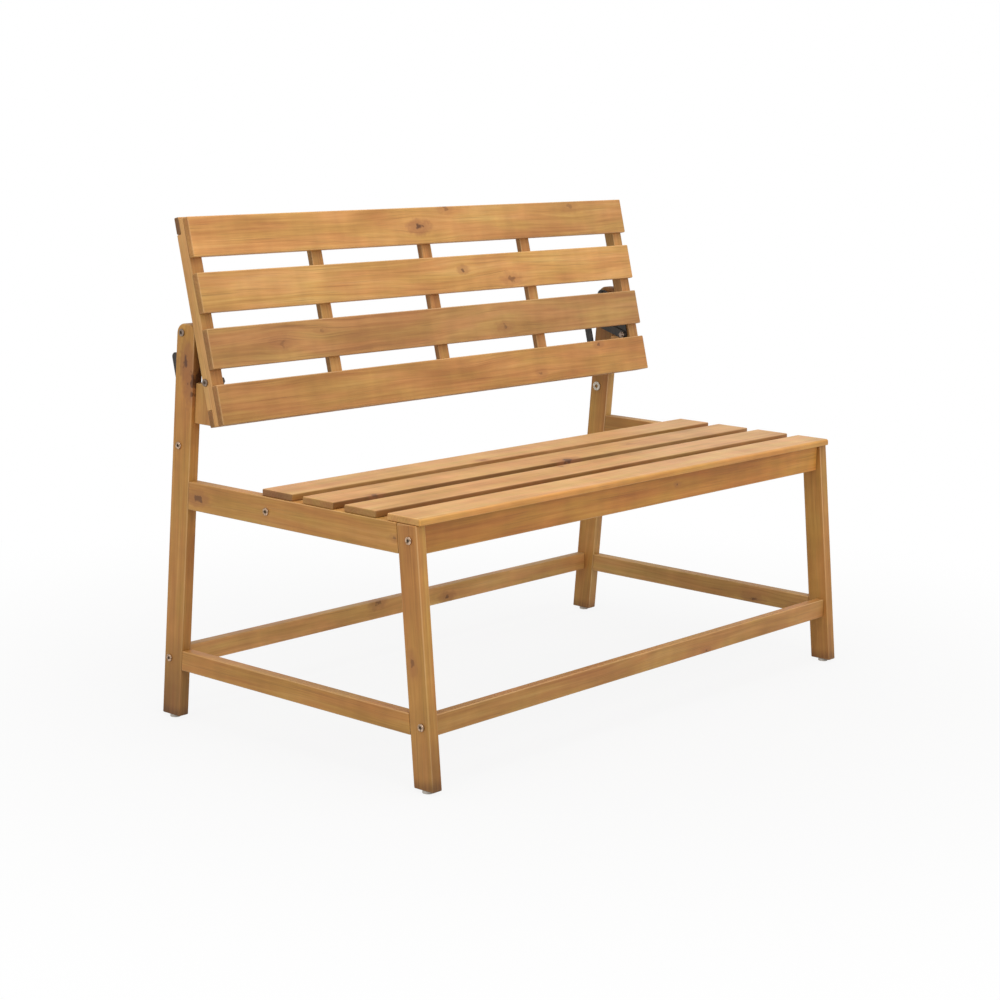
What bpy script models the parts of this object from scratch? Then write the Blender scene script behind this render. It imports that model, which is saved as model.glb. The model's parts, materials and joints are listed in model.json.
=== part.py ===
# Slatted wooden balcony bench whose back swings over its rear posts and becomes a table.
# Metres, +Z up, +Y to the rear. The origin is on the floor under the middle of the bench.

import math

import bmesh
import bpy
from mathutils import Matrix, Vector

# Side frames: a rear post, a front leg, a seat rail and a low stretcher on each side
FRAME_DEPTH = 0.608
LEG_THICKNESS = 0.020
REAR_LEAN = math.radians(3.88)
FRONT_LEAN = math.radians(6.05)
POST_WIDTH = 0.0413
LEG_WIDTH = 0.0395
POST_TOP = 0.653
POST_CORNER = 0.016
SIDE_RAIL_HEIGHT = 0.046
STRETCHER_HEIGHT = 0.033
STRETCHER_FLOOR = 0.0845

# Cross pieces from side frame to side frame
CROSS_THICKNESS = 0.016
APRON_SETBACK = 0.0082
STRETCHER_SETBACK = 0.0075
REAR_STRETCHER_SETBACK = 0.0045

# Seat
SEAT_TOP = 0.4118
SEAT_SLAT_INSET = 0.002
SEAT_SLAT_WIDTH = 0.0665
SEAT_SLAT_GAP = 0.0228
SEAT_SLAT_THICKNESS = 0.011
SEAT_OVERHANG = 0.0062
SEAT_RAIL_INSET = 0.0033
SEAT_SLATS = 4
BEARER_WIDTH = 0.026
BEARER_HEIGHT = 0.021

# Back panel, which is the table when it lies flat
BACK_LEAN = math.radians(14.47)
BACK_SLAT_LENGTH = 1.100
SLAT_PAST_FRAME = 0.002
BACK_SLAT_WIDTH = 0.0642
BACK_SLAT_GAP = 0.0248
BACK_SLAT_THICKNESS = 0.011
BACK_SLATS = 4
BATTEN_WIDTH = 0.026
MID_BATTEN_DEPTH = 0.0105
MID_BATTENS = 3
MID_BATTEN_PITCH = 0.2665
MID_BATTEN_SHIFT = -0.0070
BACK_RAIL_THICKNESS = 0.0099
BACK_RAIL_HEIGHT = 0.027
TOP_RAIL_RISE = 0.0035
STOP_BLOCK_WIDTH = 0.017
STOP_BLOCK_LOW = 0.4945
STOP_BLOCK_HIGH = 0.560

# Pivot of the back, near the top of each post
PIVOT_BELOW_TOP = 0.0146
PIVOT_BEHIND_POST_FRONT = 0.029
PIVOT_BEHIND_BATTEN = 0.0294
PIVOT_UP_PANEL = 0.1576

# Steel hinge plates and folding stays
STEEL_THICKNESS = 0.003
STAY_RUNNING_GAP = 0.0007
STAY_WIDTH = 0.015
UPPER_STAY_LENGTH = 0.1022
STAY_BOLT_UP_PANEL = 0.0717
STAY_BOLT_FROM_BATTEN_REAR = 0.0075
STAY_POST_HEIGHT = 0.486
STAY_POST_FROM_REAR = 0.0094
PLATE_PIVOT_RADIUS = 0.009
PLATE_BOLT_RADIUS = 0.008
PLATE_BOLT_UP_PANEL = 0.138
PLATE_BOLT_GRIP = 0.018
PLATE_STAY_RADIUS = 0.008

# Fasteners
BOLT_RADIUS = 0.003
BOLT_HEAD_RADIUS = 0.006
BOLT_HEAD_HEIGHT = 0.0022
HEAD_TOP_SHARE = 0.85
HEAD_SIDE_SHARE = 0.6
SOCKET_RADIUS = 0.0026
SOCKET_DEPTH = 0.0015
PIVOT_BOLT_RADIUS = 0.004
SPACER_RADIUS = 0.008
NUT_RADIUS = 0.0065
NUT_HEIGHT = 0.0055
NUT_DOME = ((0.55, 1.0), (0.85, 0.7), (1.0, 0.3))
SLEEVE_FLANGE_RADIUS = 0.0088
SLEEVE_FLANGE_HEIGHT = 0.0016
SLEEVE_RADIUS = 0.0045
SLEEVE_RIM = 0.0006
SLEEVE_BORE_RADIUS = 0.0034
SLEEVE_BORE_DEPTH = 0.004
SLEEVE_BOLT_BELOW_STAY = 0.0295
SLEEVE_BOLT_FROM_REAR = 0.0150
BARREL_NUT_RADIUS = 0.005
BARREL_NUT_LENGTH = 0.012
BARREL_NUT_FROM_END = 0.025
BOLT_PAST_BARREL = 0.008
STAY_SCREW_LENGTH = 0.016
KNEE_COLLAR_RADIUS = 0.005
KNEE_HEAD_RADIUS = 0.0055
KNEE_HEAD_HEIGHT = 0.0018
KNEE_HEAD_TOP_RADIUS = 0.0038

# Feet
GLIDE_HEIGHT = 0.005
GLIDE_RADIUS = 0.009
GLIDE_RIM = 0.001

# Finish and fit
SEAT_GAP = 0.0003
EDGE_EASE = 0.0018
EASE_STEPS = 2
EASE_LIMIT = math.radians(35)
ARC_STEPS = 6
BOLT_SIDES = 12
GLIDE_SIDES = 20
MERGE_DISTANCE = 0.00001
PIVOT_MARK = 0.03

# Looks as (colour, roughness, metallic): oiled acacia, dark steel, zinc and grey plastic
WOODS = ((0.46, 0.22, 0.085), (0.50, 0.25, 0.10), (0.42, 0.19, 0.07), (0.54, 0.29, 0.13))
WOOD_ROUGHNESS = 0.55
SEAT_WOOD = ((0.58, 0.34, 0.17), 0.5, 0.0)
BLACK_STRIP = ((0.022, 0.021, 0.02), 0.45, 0.6)
BLACK_BOLT = ((0.022, 0.021, 0.02), 0.4, 0.9)
ZINC = ((0.55, 0.54, 0.50), 0.35, 1.0)
GREY_PLASTIC = ((0.50, 0.47, 0.42), 0.5, 0.0)

SIDES = (("left", -1), ("right", 1))


# Places that follow from the sizes

REAR_SLOPE = math.tan(REAR_LEAN)
FRONT_SLOPE = math.tan(FRONT_LEAN)
POST_SPAN = POST_WIDTH / math.cos(REAR_LEAN)
LEG_SPAN = LEG_WIDTH / math.cos(FRONT_LEAN)
LEG_OUTER = BACK_SLAT_LENGTH / 2 - SLAT_PAST_FRAME
LEG_INNER = LEG_OUTER - LEG_THICKNESS
SEAT_END = LEG_OUTER - SEAT_SLAT_INSET
CROSS_END = LEG_INNER - SEAT_GAP
RAIL_TOP = SEAT_TOP - SEAT_SLAT_THICKNESS - SEAT_GAP
RAIL_LOW = RAIL_TOP - SIDE_RAIL_HEIGHT
RAIL_MIDDLE = (RAIL_TOP + RAIL_LOW) / 2
STRETCHER_TOP = STRETCHER_FLOOR + STRETCHER_HEIGHT
STRETCHER_MIDDLE = (STRETCHER_TOP + STRETCHER_FLOOR) / 2


def post_rear(z):
    return FRAME_DEPTH / 2 - REAR_SLOPE * (z - GLIDE_HEIGHT)


def post_front(z):
    return post_rear(z) - POST_SPAN


def leg_front(z):
    return -FRAME_DEPTH / 2 + FRONT_SLOPE * (z - GLIDE_HEIGHT)


def leg_rear(z):
    return leg_front(z) + LEG_SPAN


# The back pivots here. Its slats' front faces lie this far in front of the pivot.
PIVOT_Z = POST_TOP - PIVOT_BELOW_TOP
PIVOT_Y = post_front(PIVOT_Z) + PIVOT_BEHIND_POST_FRONT
BATTEN_FRONT = BACK_SLAT_THICKNESS + SEAT_GAP
MID_BATTEN_REAR = BATTEN_FRONT + MID_BATTEN_DEPTH
BACK_RAIL_FRONT = MID_BATTEN_REAR + SEAT_GAP
PANEL_REAR = BACK_RAIL_FRONT + BACK_RAIL_THICKNESS
PANEL_HEIGHT = BACK_SLATS * BACK_SLAT_WIDTH + (BACK_SLATS - 1) * BACK_SLAT_GAP
TOP_RAIL_LOW = PANEL_HEIGHT + TOP_RAIL_RISE - BACK_RAIL_HEIGHT
PIVOT_BEHIND_SLATS = PANEL_REAR + PIVOT_BEHIND_BATTEN
TABLE_SWING = math.pi / 2 - BACK_LEAN
SIN_LEAN = math.sin(BACK_LEAN)
COS_LEAN = math.cos(BACK_LEAN)
PANEL_Y = PIVOT_Y - PIVOT_UP_PANEL * SIN_LEAN - PIVOT_BEHIND_SLATS * COS_LEAN
PANEL_Z = PIVOT_Z - PIVOT_UP_PANEL * COS_LEAN + PIVOT_BEHIND_SLATS * SIN_LEAN


def on_panel(up, behind):
    # World (y, z) of a point so far up the back and behind the front of its slats
    return (PANEL_Y + up * SIN_LEAN + behind * COS_LEAN,
            PANEL_Z + up * COS_LEAN - behind * SIN_LEAN)


def panel_y(behind, z):
    # Where a plane parallel to the slats, so far behind their front, stands at height z
    return PANEL_Y + behind / COS_LEAN + (z - PANEL_Z) * math.tan(BACK_LEAN)


def swung(point, angle):
    # A (y, z) point of the back after it has swung by angle about its pivot
    y = point[0] - PIVOT_Y
    z = point[1] - PIVOT_Z
    return (PIVOT_Y + y * math.cos(angle) - z * math.sin(angle),
            PIVOT_Z + y * math.sin(angle) + z * math.cos(angle))


def knee(upper_end, lower_end, upper_length, lower_length):
    # Where the two links of a stay meet, on the rear side of the line between their far ends
    run = Vector(lower_end) - Vector(upper_end)
    span = run.length
    along = (upper_length ** 2 - lower_length ** 2 + span ** 2) / (2 * span)
    out = math.sqrt(max(upper_length ** 2 - along ** 2, 0))
    run.normalize()
    rearward = Vector((-run.y, run.x))
    place = Vector(upper_end) + run * along + rearward * out
    return (place.x, place.y)


# The stay is straight when the back lies flat, so the lower link takes up the rest of that reach.
PIVOT = (PIVOT_Y, PIVOT_Z)
STAY_BOLT = on_panel(STAY_BOLT_UP_PANEL, PANEL_REAR - STAY_BOLT_FROM_BATTEN_REAR)
PLATE_BOLT = on_panel(PLATE_BOLT_UP_PANEL, (BATTEN_FRONT + PANEL_REAR) / 2)
STAY_FOOT = (post_rear(STAY_POST_HEIGHT) - STAY_POST_FROM_REAR, STAY_POST_HEIGHT)
STAY_BOLT_AT_TABLE = swung(STAY_BOLT, -TABLE_SWING)
TABLE_REACH = (Vector(STAY_BOLT_AT_TABLE) - Vector(STAY_FOOT)).length
LOWER_STAY_LENGTH = TABLE_REACH - UPPER_STAY_LENGTH
KNEE = knee(STAY_BOLT, STAY_FOOT, UPPER_STAY_LENGTH, LOWER_STAY_LENGTH)

# Layers inside each side frame, as distances from the middle of the bench. The lower link
# runs between the post and the plane of the end batten's inner face.
LOWER_STAY_OUTER = LEG_INNER - SEAT_GAP
LOWER_STAY_INNER = LOWER_STAY_OUTER - STEEL_THICKNESS
BATTEN_INNER = LOWER_STAY_INNER - STAY_RUNNING_GAP
PLATE_OUTER = BATTEN_INNER - SEAT_GAP
PLATE_INNER = PLATE_OUTER - STEEL_THICKNESS
UPPER_STAY_OUTER = PLATE_INNER - SEAT_GAP
UPPER_STAY_INNER = UPPER_STAY_OUTER - STEEL_THICKNESS

# Cross pieces, as (front face, lower edge)
APRON_FRONT = leg_front(RAIL_MIDDLE) + APRON_SETBACK
SEAT_FRONT = leg_front(RAIL_TOP) - SEAT_OVERHANG
SEAT_REAR = SEAT_FRONT + SEAT_SLATS * SEAT_SLAT_WIDTH + (SEAT_SLATS - 1) * SEAT_SLAT_GAP
SEAT_RAIL_REAR = SEAT_REAR - SEAT_RAIL_INSET
SEAT_RAIL_FRONT = SEAT_RAIL_REAR - CROSS_THICKNESS
FRONT_STRETCHER_FRONT = leg_front(STRETCHER_MIDDLE) + STRETCHER_SETBACK
REAR_STRETCHER_REAR = post_rear(STRETCHER_MIDDLE) - REAR_STRETCHER_SETBACK
REAR_STRETCHER_FRONT = REAR_STRETCHER_REAR - CROSS_THICKNESS


# Modelling helpers

def clear_scene():
    for item in list(bpy.data.objects):
        bpy.data.objects.remove(item, do_unlink=True)


def finish(name, colour, roughness, metallic):
    material = bpy.data.materials.new(name + "_finish")
    material.use_nodes = True
    shader = material.node_tree.nodes["Principled BSDF"]
    shader.inputs["Base Color"].default_value = (*colour, 1.0)
    shader.inputs["Roughness"].default_value = roughness
    shader.inputs["Metallic"].default_value = metallic
    return material


def add_object(name, mesh, look, pivot=None):
    # A pivot is the empty on the joint axis that the piece turns about
    data = bpy.data.meshes.new(name)
    bmesh.ops.recalc_face_normals(mesh, faces=mesh.faces)
    mesh.to_mesh(data)
    mesh.free()
    piece = bpy.data.objects.new(name, data)
    bpy.context.scene.collection.objects.link(piece)
    if look:
        data.materials.append(finish(name, *look))
    if pivot:
        data.transform(Matrix.Translation(-pivot.location))
        piece.parent = pivot
    return piece


def pivot_empty(name, x, point):
    empty = bpy.data.objects.new(name, None)
    empty.location = (x, point[0], point[1])
    empty.empty_display_size = PIVOT_MARK
    bpy.context.scene.collection.objects.link(empty)
    return empty


def extruded(outline, x_low, x_high):
    # A solid whose YZ outline runs along X
    mesh = bmesh.new()
    corners = [mesh.verts.new((x_low, y, z)) for y, z in outline]
    cap = mesh.faces.new(corners)
    grown = bmesh.ops.extrude_face_region(mesh, geom=[cap])
    far_end = [item for item in grown["geom"] if isinstance(item, bmesh.types.BMVert)]
    bmesh.ops.translate(mesh, verts=far_end, vec=(x_high - x_low, 0, 0))
    return mesh


def board(name, outline, x_from, x_to, look, pivot=None, ease=EDGE_EASE):
    piece = add_object(name, extruded(outline, min(x_from, x_to), max(x_from, x_to)), look, pivot)
    if ease:
        edges = piece.modifiers.new("eased_edges", "BEVEL")
        edges.width = ease
        edges.segments = EASE_STEPS
        edges.limit_method = "ANGLE"
        edges.angle_limit = EASE_LIMIT
    return piece


def rectangle(y_low, y_high, z_low, z_high):
    return [(y_low, z_low), (y_high, z_low), (y_high, z_high), (y_low, z_high)]


def panel_rectangle(up_low, up_high, front, rear):
    return [on_panel(up_low, front), on_panel(up_low, rear),
            on_panel(up_high, rear), on_panel(up_high, front)]


def rounded(outline, radii):
    # Replaces each corner that has a radius by an arc tangent to its two sides
    points = []
    for index, corner in enumerate(outline):
        radius = radii[index]
        if not radius:
            points.append(corner)
            continue
        here = Vector(corner)
        back = (Vector(outline[index - 1]) - here).normalized()
        ahead = (Vector(outline[(index + 1) % len(outline)]) - here).normalized()
        half = back.angle(ahead) / 2
        centre = here + (back + ahead).normalized() * (radius / math.sin(half))
        start = here + back * (radius / math.tan(half)) - centre
        turn = math.pi - 2 * half
        side = 1 if back.x * ahead.y - back.y * ahead.x < 0 else -1
        for step in range(ARC_STEPS + 1):
            angle = side * turn * step / ARC_STEPS
            x = start.x * math.cos(angle) - start.y * math.sin(angle)
            y = start.x * math.sin(angle) + start.y * math.cos(angle)
            points.append((centre.x + x, centre.y + y))
    return points


def belt(circles):
    # Outline of a flat bar or plate that wraps round circles (y, z, radius), anticlockwise
    normals = []
    for index, (y, z, radius) in enumerate(circles):
        next_y, next_z, next_radius = circles[(index + 1) % len(circles)]
        distance = math.hypot(next_y - y, next_z - z)
        heading = math.atan2(next_z - z, next_y - y)
        normals.append(heading - math.acos((radius - next_radius) / distance))
    points = []
    for index, (y, z, radius) in enumerate(circles):
        first = normals[index - 1]
        turn = (normals[index] - first) % (2 * math.pi)
        steps = max(2, math.ceil(turn / (math.pi / (2 * ARC_STEPS))))
        for step in range(steps + 1):
            angle = first + turn * step / steps
            points.append((y + radius * math.cos(angle), z + radius * math.sin(angle)))
    return points


def turned(profile, start, direction, sides):
    # A solid turned about the line from start along direction. The profile is (along, radius).
    mesh = bmesh.new()
    axis = Vector(direction).normalized()
    square = axis.orthogonal().normalized()
    spots = [mesh.verts.new(Vector(start) + axis * along + square * radius)
             for along, radius in profile]
    edges = [mesh.edges.new(pair) for pair in zip(spots, spots[1:])]
    bmesh.ops.spin(mesh, geom=spots + edges, cent=start, axis=axis,
                   angle=2 * math.pi, steps=sides, use_merge=True)
    bmesh.ops.remove_doubles(mesh, verts=mesh.verts, dist=MERGE_DISTANCE)
    bmesh.ops.recalc_face_normals(mesh, faces=mesh.faces)
    return mesh


def gathered(solids):
    # Several separate solids in one mesh
    whole = bmesh.new()
    for solid in solids:
        copy = bpy.data.meshes.new("solid")
        solid.to_mesh(copy)
        solid.free()
        whole.from_mesh(copy)
        bpy.data.meshes.remove(copy)
    return whole


def fastener(name, profile, start, direction, look, pivot=None, sides=BOLT_SIDES):
    return add_object(name, turned(profile, start, direction, sides), look, pivot)


def helper(name, parts):
    # Solids that cut pieces or are joined to them. A helper isn't part of the model.
    solids = [turned(profile, start, direction, BOLT_SIDES)
              for profile, start, direction in parts]
    tool = add_object(name, gathered(solids), None)
    tool.hide_render = True
    tool.display_type = "WIRE"
    return tool


def combine(piece, tool, operation):
    change = piece.modifiers.new(tool.name, "BOOLEAN")
    change.operation = operation
    change.solver = "EXACT"
    change.object = tool


def cut(piece, tool):
    combine(piece, tool, "DIFFERENCE")


def join(piece, tool):
    combine(piece, tool, "UNION")


def wood(number):
    return (WOODS[number % len(WOODS)], WOOD_ROUGHNESS, 0.0)


# Fastener shapes, from the head inwards

def bolt_profile(length, radius, head_radius):
    # The socket's floor is the first point, and the head's seat is at zero
    floor = -BOLT_HEAD_HEIGHT + SOCKET_DEPTH
    top = -BOLT_HEAD_HEIGHT
    return [(floor, 0), (floor, SOCKET_RADIUS), (top, SOCKET_RADIUS),
            (top, head_radius * HEAD_TOP_SHARE), (top * HEAD_SIDE_SHARE, head_radius),
            (0, head_radius), (0, radius), (length, radius), (length, 0)]


def bore_profile(start, end, radius):
    return [(start, 0), (start, radius), (end, radius), (end, 0)]


def bolt_with_nut(nut_seat, radius):
    # A bolt whose domed nut sits at nut_seat, counted from under the bolt's head
    bolt = bolt_profile(nut_seat, radius, BOLT_HEAD_RADIUS)[:-1]
    dome = [(nut_seat + NUT_HEIGHT * up, NUT_RADIUS * out) for up, out in NUT_DOME]
    return bolt + [(nut_seat, NUT_RADIUS)] + dome + [(nut_seat + NUT_HEIGHT, 0)]


# Side frames

def side_frames():
    posts = []
    legs = []
    rails = []
    for number, (side, sign) in enumerate(SIDES):
        outer = sign * LEG_OUTER
        inner = sign * LEG_INNER
        low = GLIDE_HEIGHT
        post = [(post_front(low), low), (post_rear(low), low),
                (post_rear(POST_TOP), POST_TOP), (post_front(POST_TOP), POST_TOP)]
        post = rounded(post, (0, 0, POST_CORNER, POST_CORNER))
        posts.append(board("rear_post_" + side, post, inner, outer, wood(number)))
        leg = [(leg_front(low), low), (leg_rear(low), low),
               (leg_rear(RAIL_TOP), RAIL_TOP), (leg_front(RAIL_TOP), RAIL_TOP)]
        legs.append(board("front_leg_" + side, leg, inner, outer, wood(number + 1)))
        rails.append(board("side_rail_" + side, between_legs(RAIL_LOW, RAIL_TOP),
                           inner, outer, wood(number + 2)))
        board("side_stretcher_" + side, between_legs(STRETCHER_FLOOR, STRETCHER_TOP),
              inner, outer, wood(number + 3))
    return posts, legs, rails


def between_legs(z_low, z_high):
    # A rail that butts against the front leg and the rear post
    return [(leg_rear(z_low) + SEAT_GAP, z_low), (post_front(z_low) - SEAT_GAP, z_low),
            (post_front(z_high) - SEAT_GAP, z_high), (leg_rear(z_high) + SEAT_GAP, z_high)]


# Cross pieces, held by a bolt and a barrel nut at each end

def cross_pieces():
    spots = (("front_apron", APRON_FRONT, RAIL_LOW, RAIL_TOP, 0),
             ("seat_rear_rail", SEAT_RAIL_FRONT, RAIL_LOW, RAIL_TOP, 1),
             ("front_stretcher", FRONT_STRETCHER_FRONT, STRETCHER_FLOOR, STRETCHER_TOP, 2),
             ("rear_stretcher", REAR_STRETCHER_FRONT, STRETCHER_FLOOR, STRETCHER_TOP, 3))
    pieces = []
    centres = {}
    for name, front, low, high, number in spots:
        outline = rectangle(front, front + CROSS_THICKNESS, low, high)
        pieces.append(board(name, outline, -CROSS_END, CROSS_END, wood(number)))
        centres[name] = (front + CROSS_THICKNESS / 2, (low + high) / 2)
    return pieces, centres


def frame_bolts(crosses, centres, side_pieces):
    # Each bolt runs through a side frame into a barrel nut that lies across the rail
    nut_from_middle = CROSS_END - BARREL_NUT_FROM_END
    length = LEG_OUTER - nut_from_middle + BOLT_PAST_BARREL
    half_nut = BARREL_NUT_LENGTH / 2
    shape = bolt_profile(length, BOLT_RADIUS, BOLT_HEAD_RADIUS)
    bolt_bore = bore_profile(-BOLT_HEAD_HEIGHT, length + BOLT_RADIUS, BOLT_RADIUS + SEAT_GAP)
    nut_shape = bore_profile(-half_nut, half_nut, BARREL_NUT_RADIUS)
    nut_bore = bore_profile(-half_nut - SEAT_GAP, CROSS_THICKNESS,
                            BARREL_NUT_RADIUS + SEAT_GAP)
    bolt_bores = []
    nut_bores = []
    for cross, (y, z) in centres.items():
        for side, sign in SIDES:
            start = (sign * (LEG_OUTER + SEAT_GAP), y, z)
            nut_place = (sign * nut_from_middle, y, z)
            inward = (-sign, 0, 0)
            name = cross + "_bolt_" + side
            bolt = fastener(name, shape, start, inward, ZINC)
            join(bolt, helper(name + "_barrel", [(nut_shape, nut_place, (0, 1, 0))]))
            bolt_bores.append((bolt_bore, start, inward))
            nut_bores.append((nut_bore, nut_place, (0, 1, 0)))
    bolt_tool = helper("frame_bolt_bores", bolt_bores)
    nut_tool = helper("barrel_nut_bores", nut_bores)
    for piece in side_pieces:
        cut(piece, bolt_tool)
    for piece in crosses:
        cut(piece, bolt_tool)
        cut(piece, nut_tool)


# Seat

def seat():
    for number in range(SEAT_SLATS):
        rear = SEAT_REAR - number * (SEAT_SLAT_WIDTH + SEAT_SLAT_GAP)
        outline = rectangle(rear - SEAT_SLAT_WIDTH, rear,
                            SEAT_TOP - SEAT_SLAT_THICKNESS, SEAT_TOP)
        board("seat_slat_%d" % (number + 1), outline, -SEAT_END, SEAT_END, SEAT_WOOD)
    outline = rectangle(APRON_FRONT + CROSS_THICKNESS + SEAT_GAP, SEAT_RAIL_FRONT - SEAT_GAP,
                        RAIL_TOP - BEARER_HEIGHT, RAIL_TOP)
    side_centre = CROSS_END - BEARER_WIDTH / 2
    centres = (("left", -side_centre), ("middle", 0.0), ("right", side_centre))
    for number, (place, x) in enumerate(centres):
        board("seat_bearer_" + place, outline, x - BEARER_WIDTH / 2, x + BEARER_WIDTH / 2,
              wood(number))


# Back panel

def back_panel(pivot):
    for number in range(BACK_SLATS):
        high = PANEL_HEIGHT - number * (BACK_SLAT_WIDTH + BACK_SLAT_GAP)
        outline = panel_rectangle(high - BACK_SLAT_WIDTH, high, 0, BACK_SLAT_THICKNESS)
        board("back_slat_%d" % (number + 1), outline, -BACK_SLAT_LENGTH / 2,
              BACK_SLAT_LENGTH / 2, wood(number), pivot)
    for number, (name, low) in enumerate((("back_top_rail", TOP_RAIL_LOW),
                                          ("back_bottom_rail", 0.0))):
        outline = panel_rectangle(low, low + BACK_RAIL_HEIGHT, BACK_RAIL_FRONT, PANEL_REAR)
        board(name, outline, -BACK_SLAT_LENGTH / 2, BACK_SLAT_LENGTH / 2,
              wood(number + 1), pivot)
    outline = panel_rectangle(0, PANEL_HEIGHT, BATTEN_FRONT, MID_BATTEN_REAR)
    for number in range(MID_BATTENS):
        x = MID_BATTEN_SHIFT + (number - (MID_BATTENS - 1) / 2) * MID_BATTEN_PITCH
        board("back_batten_middle_%d" % (number + 1), outline, x - BATTEN_WIDTH / 2,
              x + BATTEN_WIDTH / 2, wood(number + 1), pivot)


def back_end_battens(pivot):
    # An end batten is notched behind at both ends, where the cross rails lie flush in it
    low = BACK_RAIL_HEIGHT + SEAT_GAP
    high = TOP_RAIL_LOW - SEAT_GAP
    outline = [on_panel(up, behind) for up, behind in (
        (0, BATTEN_FRONT), (0, MID_BATTEN_REAR), (low, MID_BATTEN_REAR), (low, PANEL_REAR),
        (high, PANEL_REAR), (high, MID_BATTEN_REAR), (PANEL_HEIGHT, MID_BATTEN_REAR),
        (PANEL_HEIGHT, BATTEN_FRONT))]
    battens = []
    for number, (side, sign) in enumerate(SIDES):
        battens.append(board("back_batten_" + side, outline, sign * BATTEN_INNER,
                             sign * BACK_SLAT_LENGTH / 2, wood(number + 2), pivot))
    return battens


def stop_blocks(pivot):
    # Wedges on the end battens that rest against the posts when the bench has its back up
    face = PANEL_REAR + SEAT_GAP
    outline = [(panel_y(face, STOP_BLOCK_LOW), STOP_BLOCK_LOW),
               (post_front(STOP_BLOCK_LOW) - SEAT_GAP, STOP_BLOCK_LOW),
               (post_front(STOP_BLOCK_HIGH) - SEAT_GAP, STOP_BLOCK_HIGH),
               (panel_y(face, STOP_BLOCK_HIGH), STOP_BLOCK_HIGH)]
    for number, (side, sign) in enumerate(SIDES):
        board("stop_block_" + side, outline, sign * BATTEN_INNER,
              sign * (BATTEN_INNER + STOP_BLOCK_WIDTH), wood(number + 3), pivot)


# Steel plates, stays and their bolts

def hinge_plates(pivot):
    # A plate on each end batten's inner face reaches back to the pivot bolt
    circles = ((*STAY_BOLT, PLATE_STAY_RADIUS), (*PIVOT, PLATE_PIVOT_RADIUS),
               (*PLATE_BOLT, PLATE_BOLT_RADIUS))
    plates = []
    for side, sign in SIDES:
        plates.append(board("hinge_plate_" + side, belt(circles), sign * PLATE_INNER,
                            sign * PLATE_OUTER, BLACK_STRIP, pivot, ease=0))
    return plates


def stay_link(name, first, second, x_from, x_to, pivot):
    radius = STAY_WIDTH / 2
    outline = belt(((*first, radius), (*second, radius)))
    return board(name, outline, x_from, x_to, BLACK_STRIP, pivot, ease=0)


def stays(upper_pivots, lower_pivots):
    # Two links on each side stop the table level. The knee's pin is riveted to the upper one.
    pin_start = -STEEL_THICKNESS - KNEE_HEAD_HEIGHT
    collar_end = LOWER_STAY_INNER - SEAT_GAP - UPPER_STAY_OUTER
    pin = [(pin_start, 0), (pin_start, KNEE_HEAD_TOP_RADIUS),
           (pin_start + KNEE_HEAD_HEIGHT, KNEE_HEAD_RADIUS), (0, KNEE_COLLAR_RADIUS),
           (collar_end, KNEE_COLLAR_RADIUS), (collar_end, 0)]
    uppers = []
    lowers = []
    for side, sign in SIDES:
        upper = stay_link("stay_upper_" + side, STAY_BOLT, KNEE, sign * UPPER_STAY_INNER,
                          sign * UPPER_STAY_OUTER, upper_pivots[side])
        knee_place = (sign * UPPER_STAY_OUTER, *KNEE)
        join(upper, helper("knee_pin_" + side, [(pin, knee_place, (sign, 0, 0))]))
        uppers.append(upper)
        lowers.append(stay_link("stay_lower_" + side, STAY_FOOT, KNEE,
                                sign * LOWER_STAY_INNER, sign * LOWER_STAY_OUTER,
                                lower_pivots[side]))
    return uppers, lowers


def batten_bolts(end_battens, plates, upper_stays, pivot):
    # One bolt through each end batten, plate and upper link, with a domed nut inside
    outer = BACK_SLAT_LENGTH / 2 + SEAT_GAP
    nut_seat = outer - UPPER_STAY_INNER + SEAT_GAP
    bore = bore_profile(-BOLT_HEAD_HEIGHT, nut_seat + NUT_HEIGHT, BOLT_RADIUS + SEAT_GAP)
    bores = []
    for side, sign in SIDES:
        start = (sign * outer, *STAY_BOLT)
        fastener("stay_bolt_" + side, bolt_with_nut(nut_seat, BOLT_RADIUS), start,
                 (-sign, 0, 0), ZINC, pivot)
        bores.append((bore, start, (-sign, 0, 0)))
    tool = helper("stay_bolt_bores", bores)
    for piece in end_battens + plates + upper_stays:
        cut(piece, tool)


def plate_bolts(end_battens, plates, pivot):
    # A lag bolt from inside holds each plate to its end batten and stays short of its outside
    length = STEEL_THICKNESS + 2 * SEAT_GAP + PLATE_BOLT_GRIP
    shape = bolt_profile(length, BOLT_RADIUS, BOLT_HEAD_RADIUS)
    bore = bore_profile(-BOLT_HEAD_HEIGHT, length + SEAT_GAP, BOLT_RADIUS + SEAT_GAP)
    bores = []
    for side, sign in SIDES:
        start = (sign * (PLATE_INNER - SEAT_GAP), *PLATE_BOLT)
        fastener("plate_bolt_" + side, shape, start, (sign, 0, 0), ZINC, pivot)
        bores.append((bore, start, (sign, 0, 0)))
    tool = helper("plate_bolt_bores", bores)
    for piece in end_battens + plates:
        cut(piece, tool)


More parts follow.
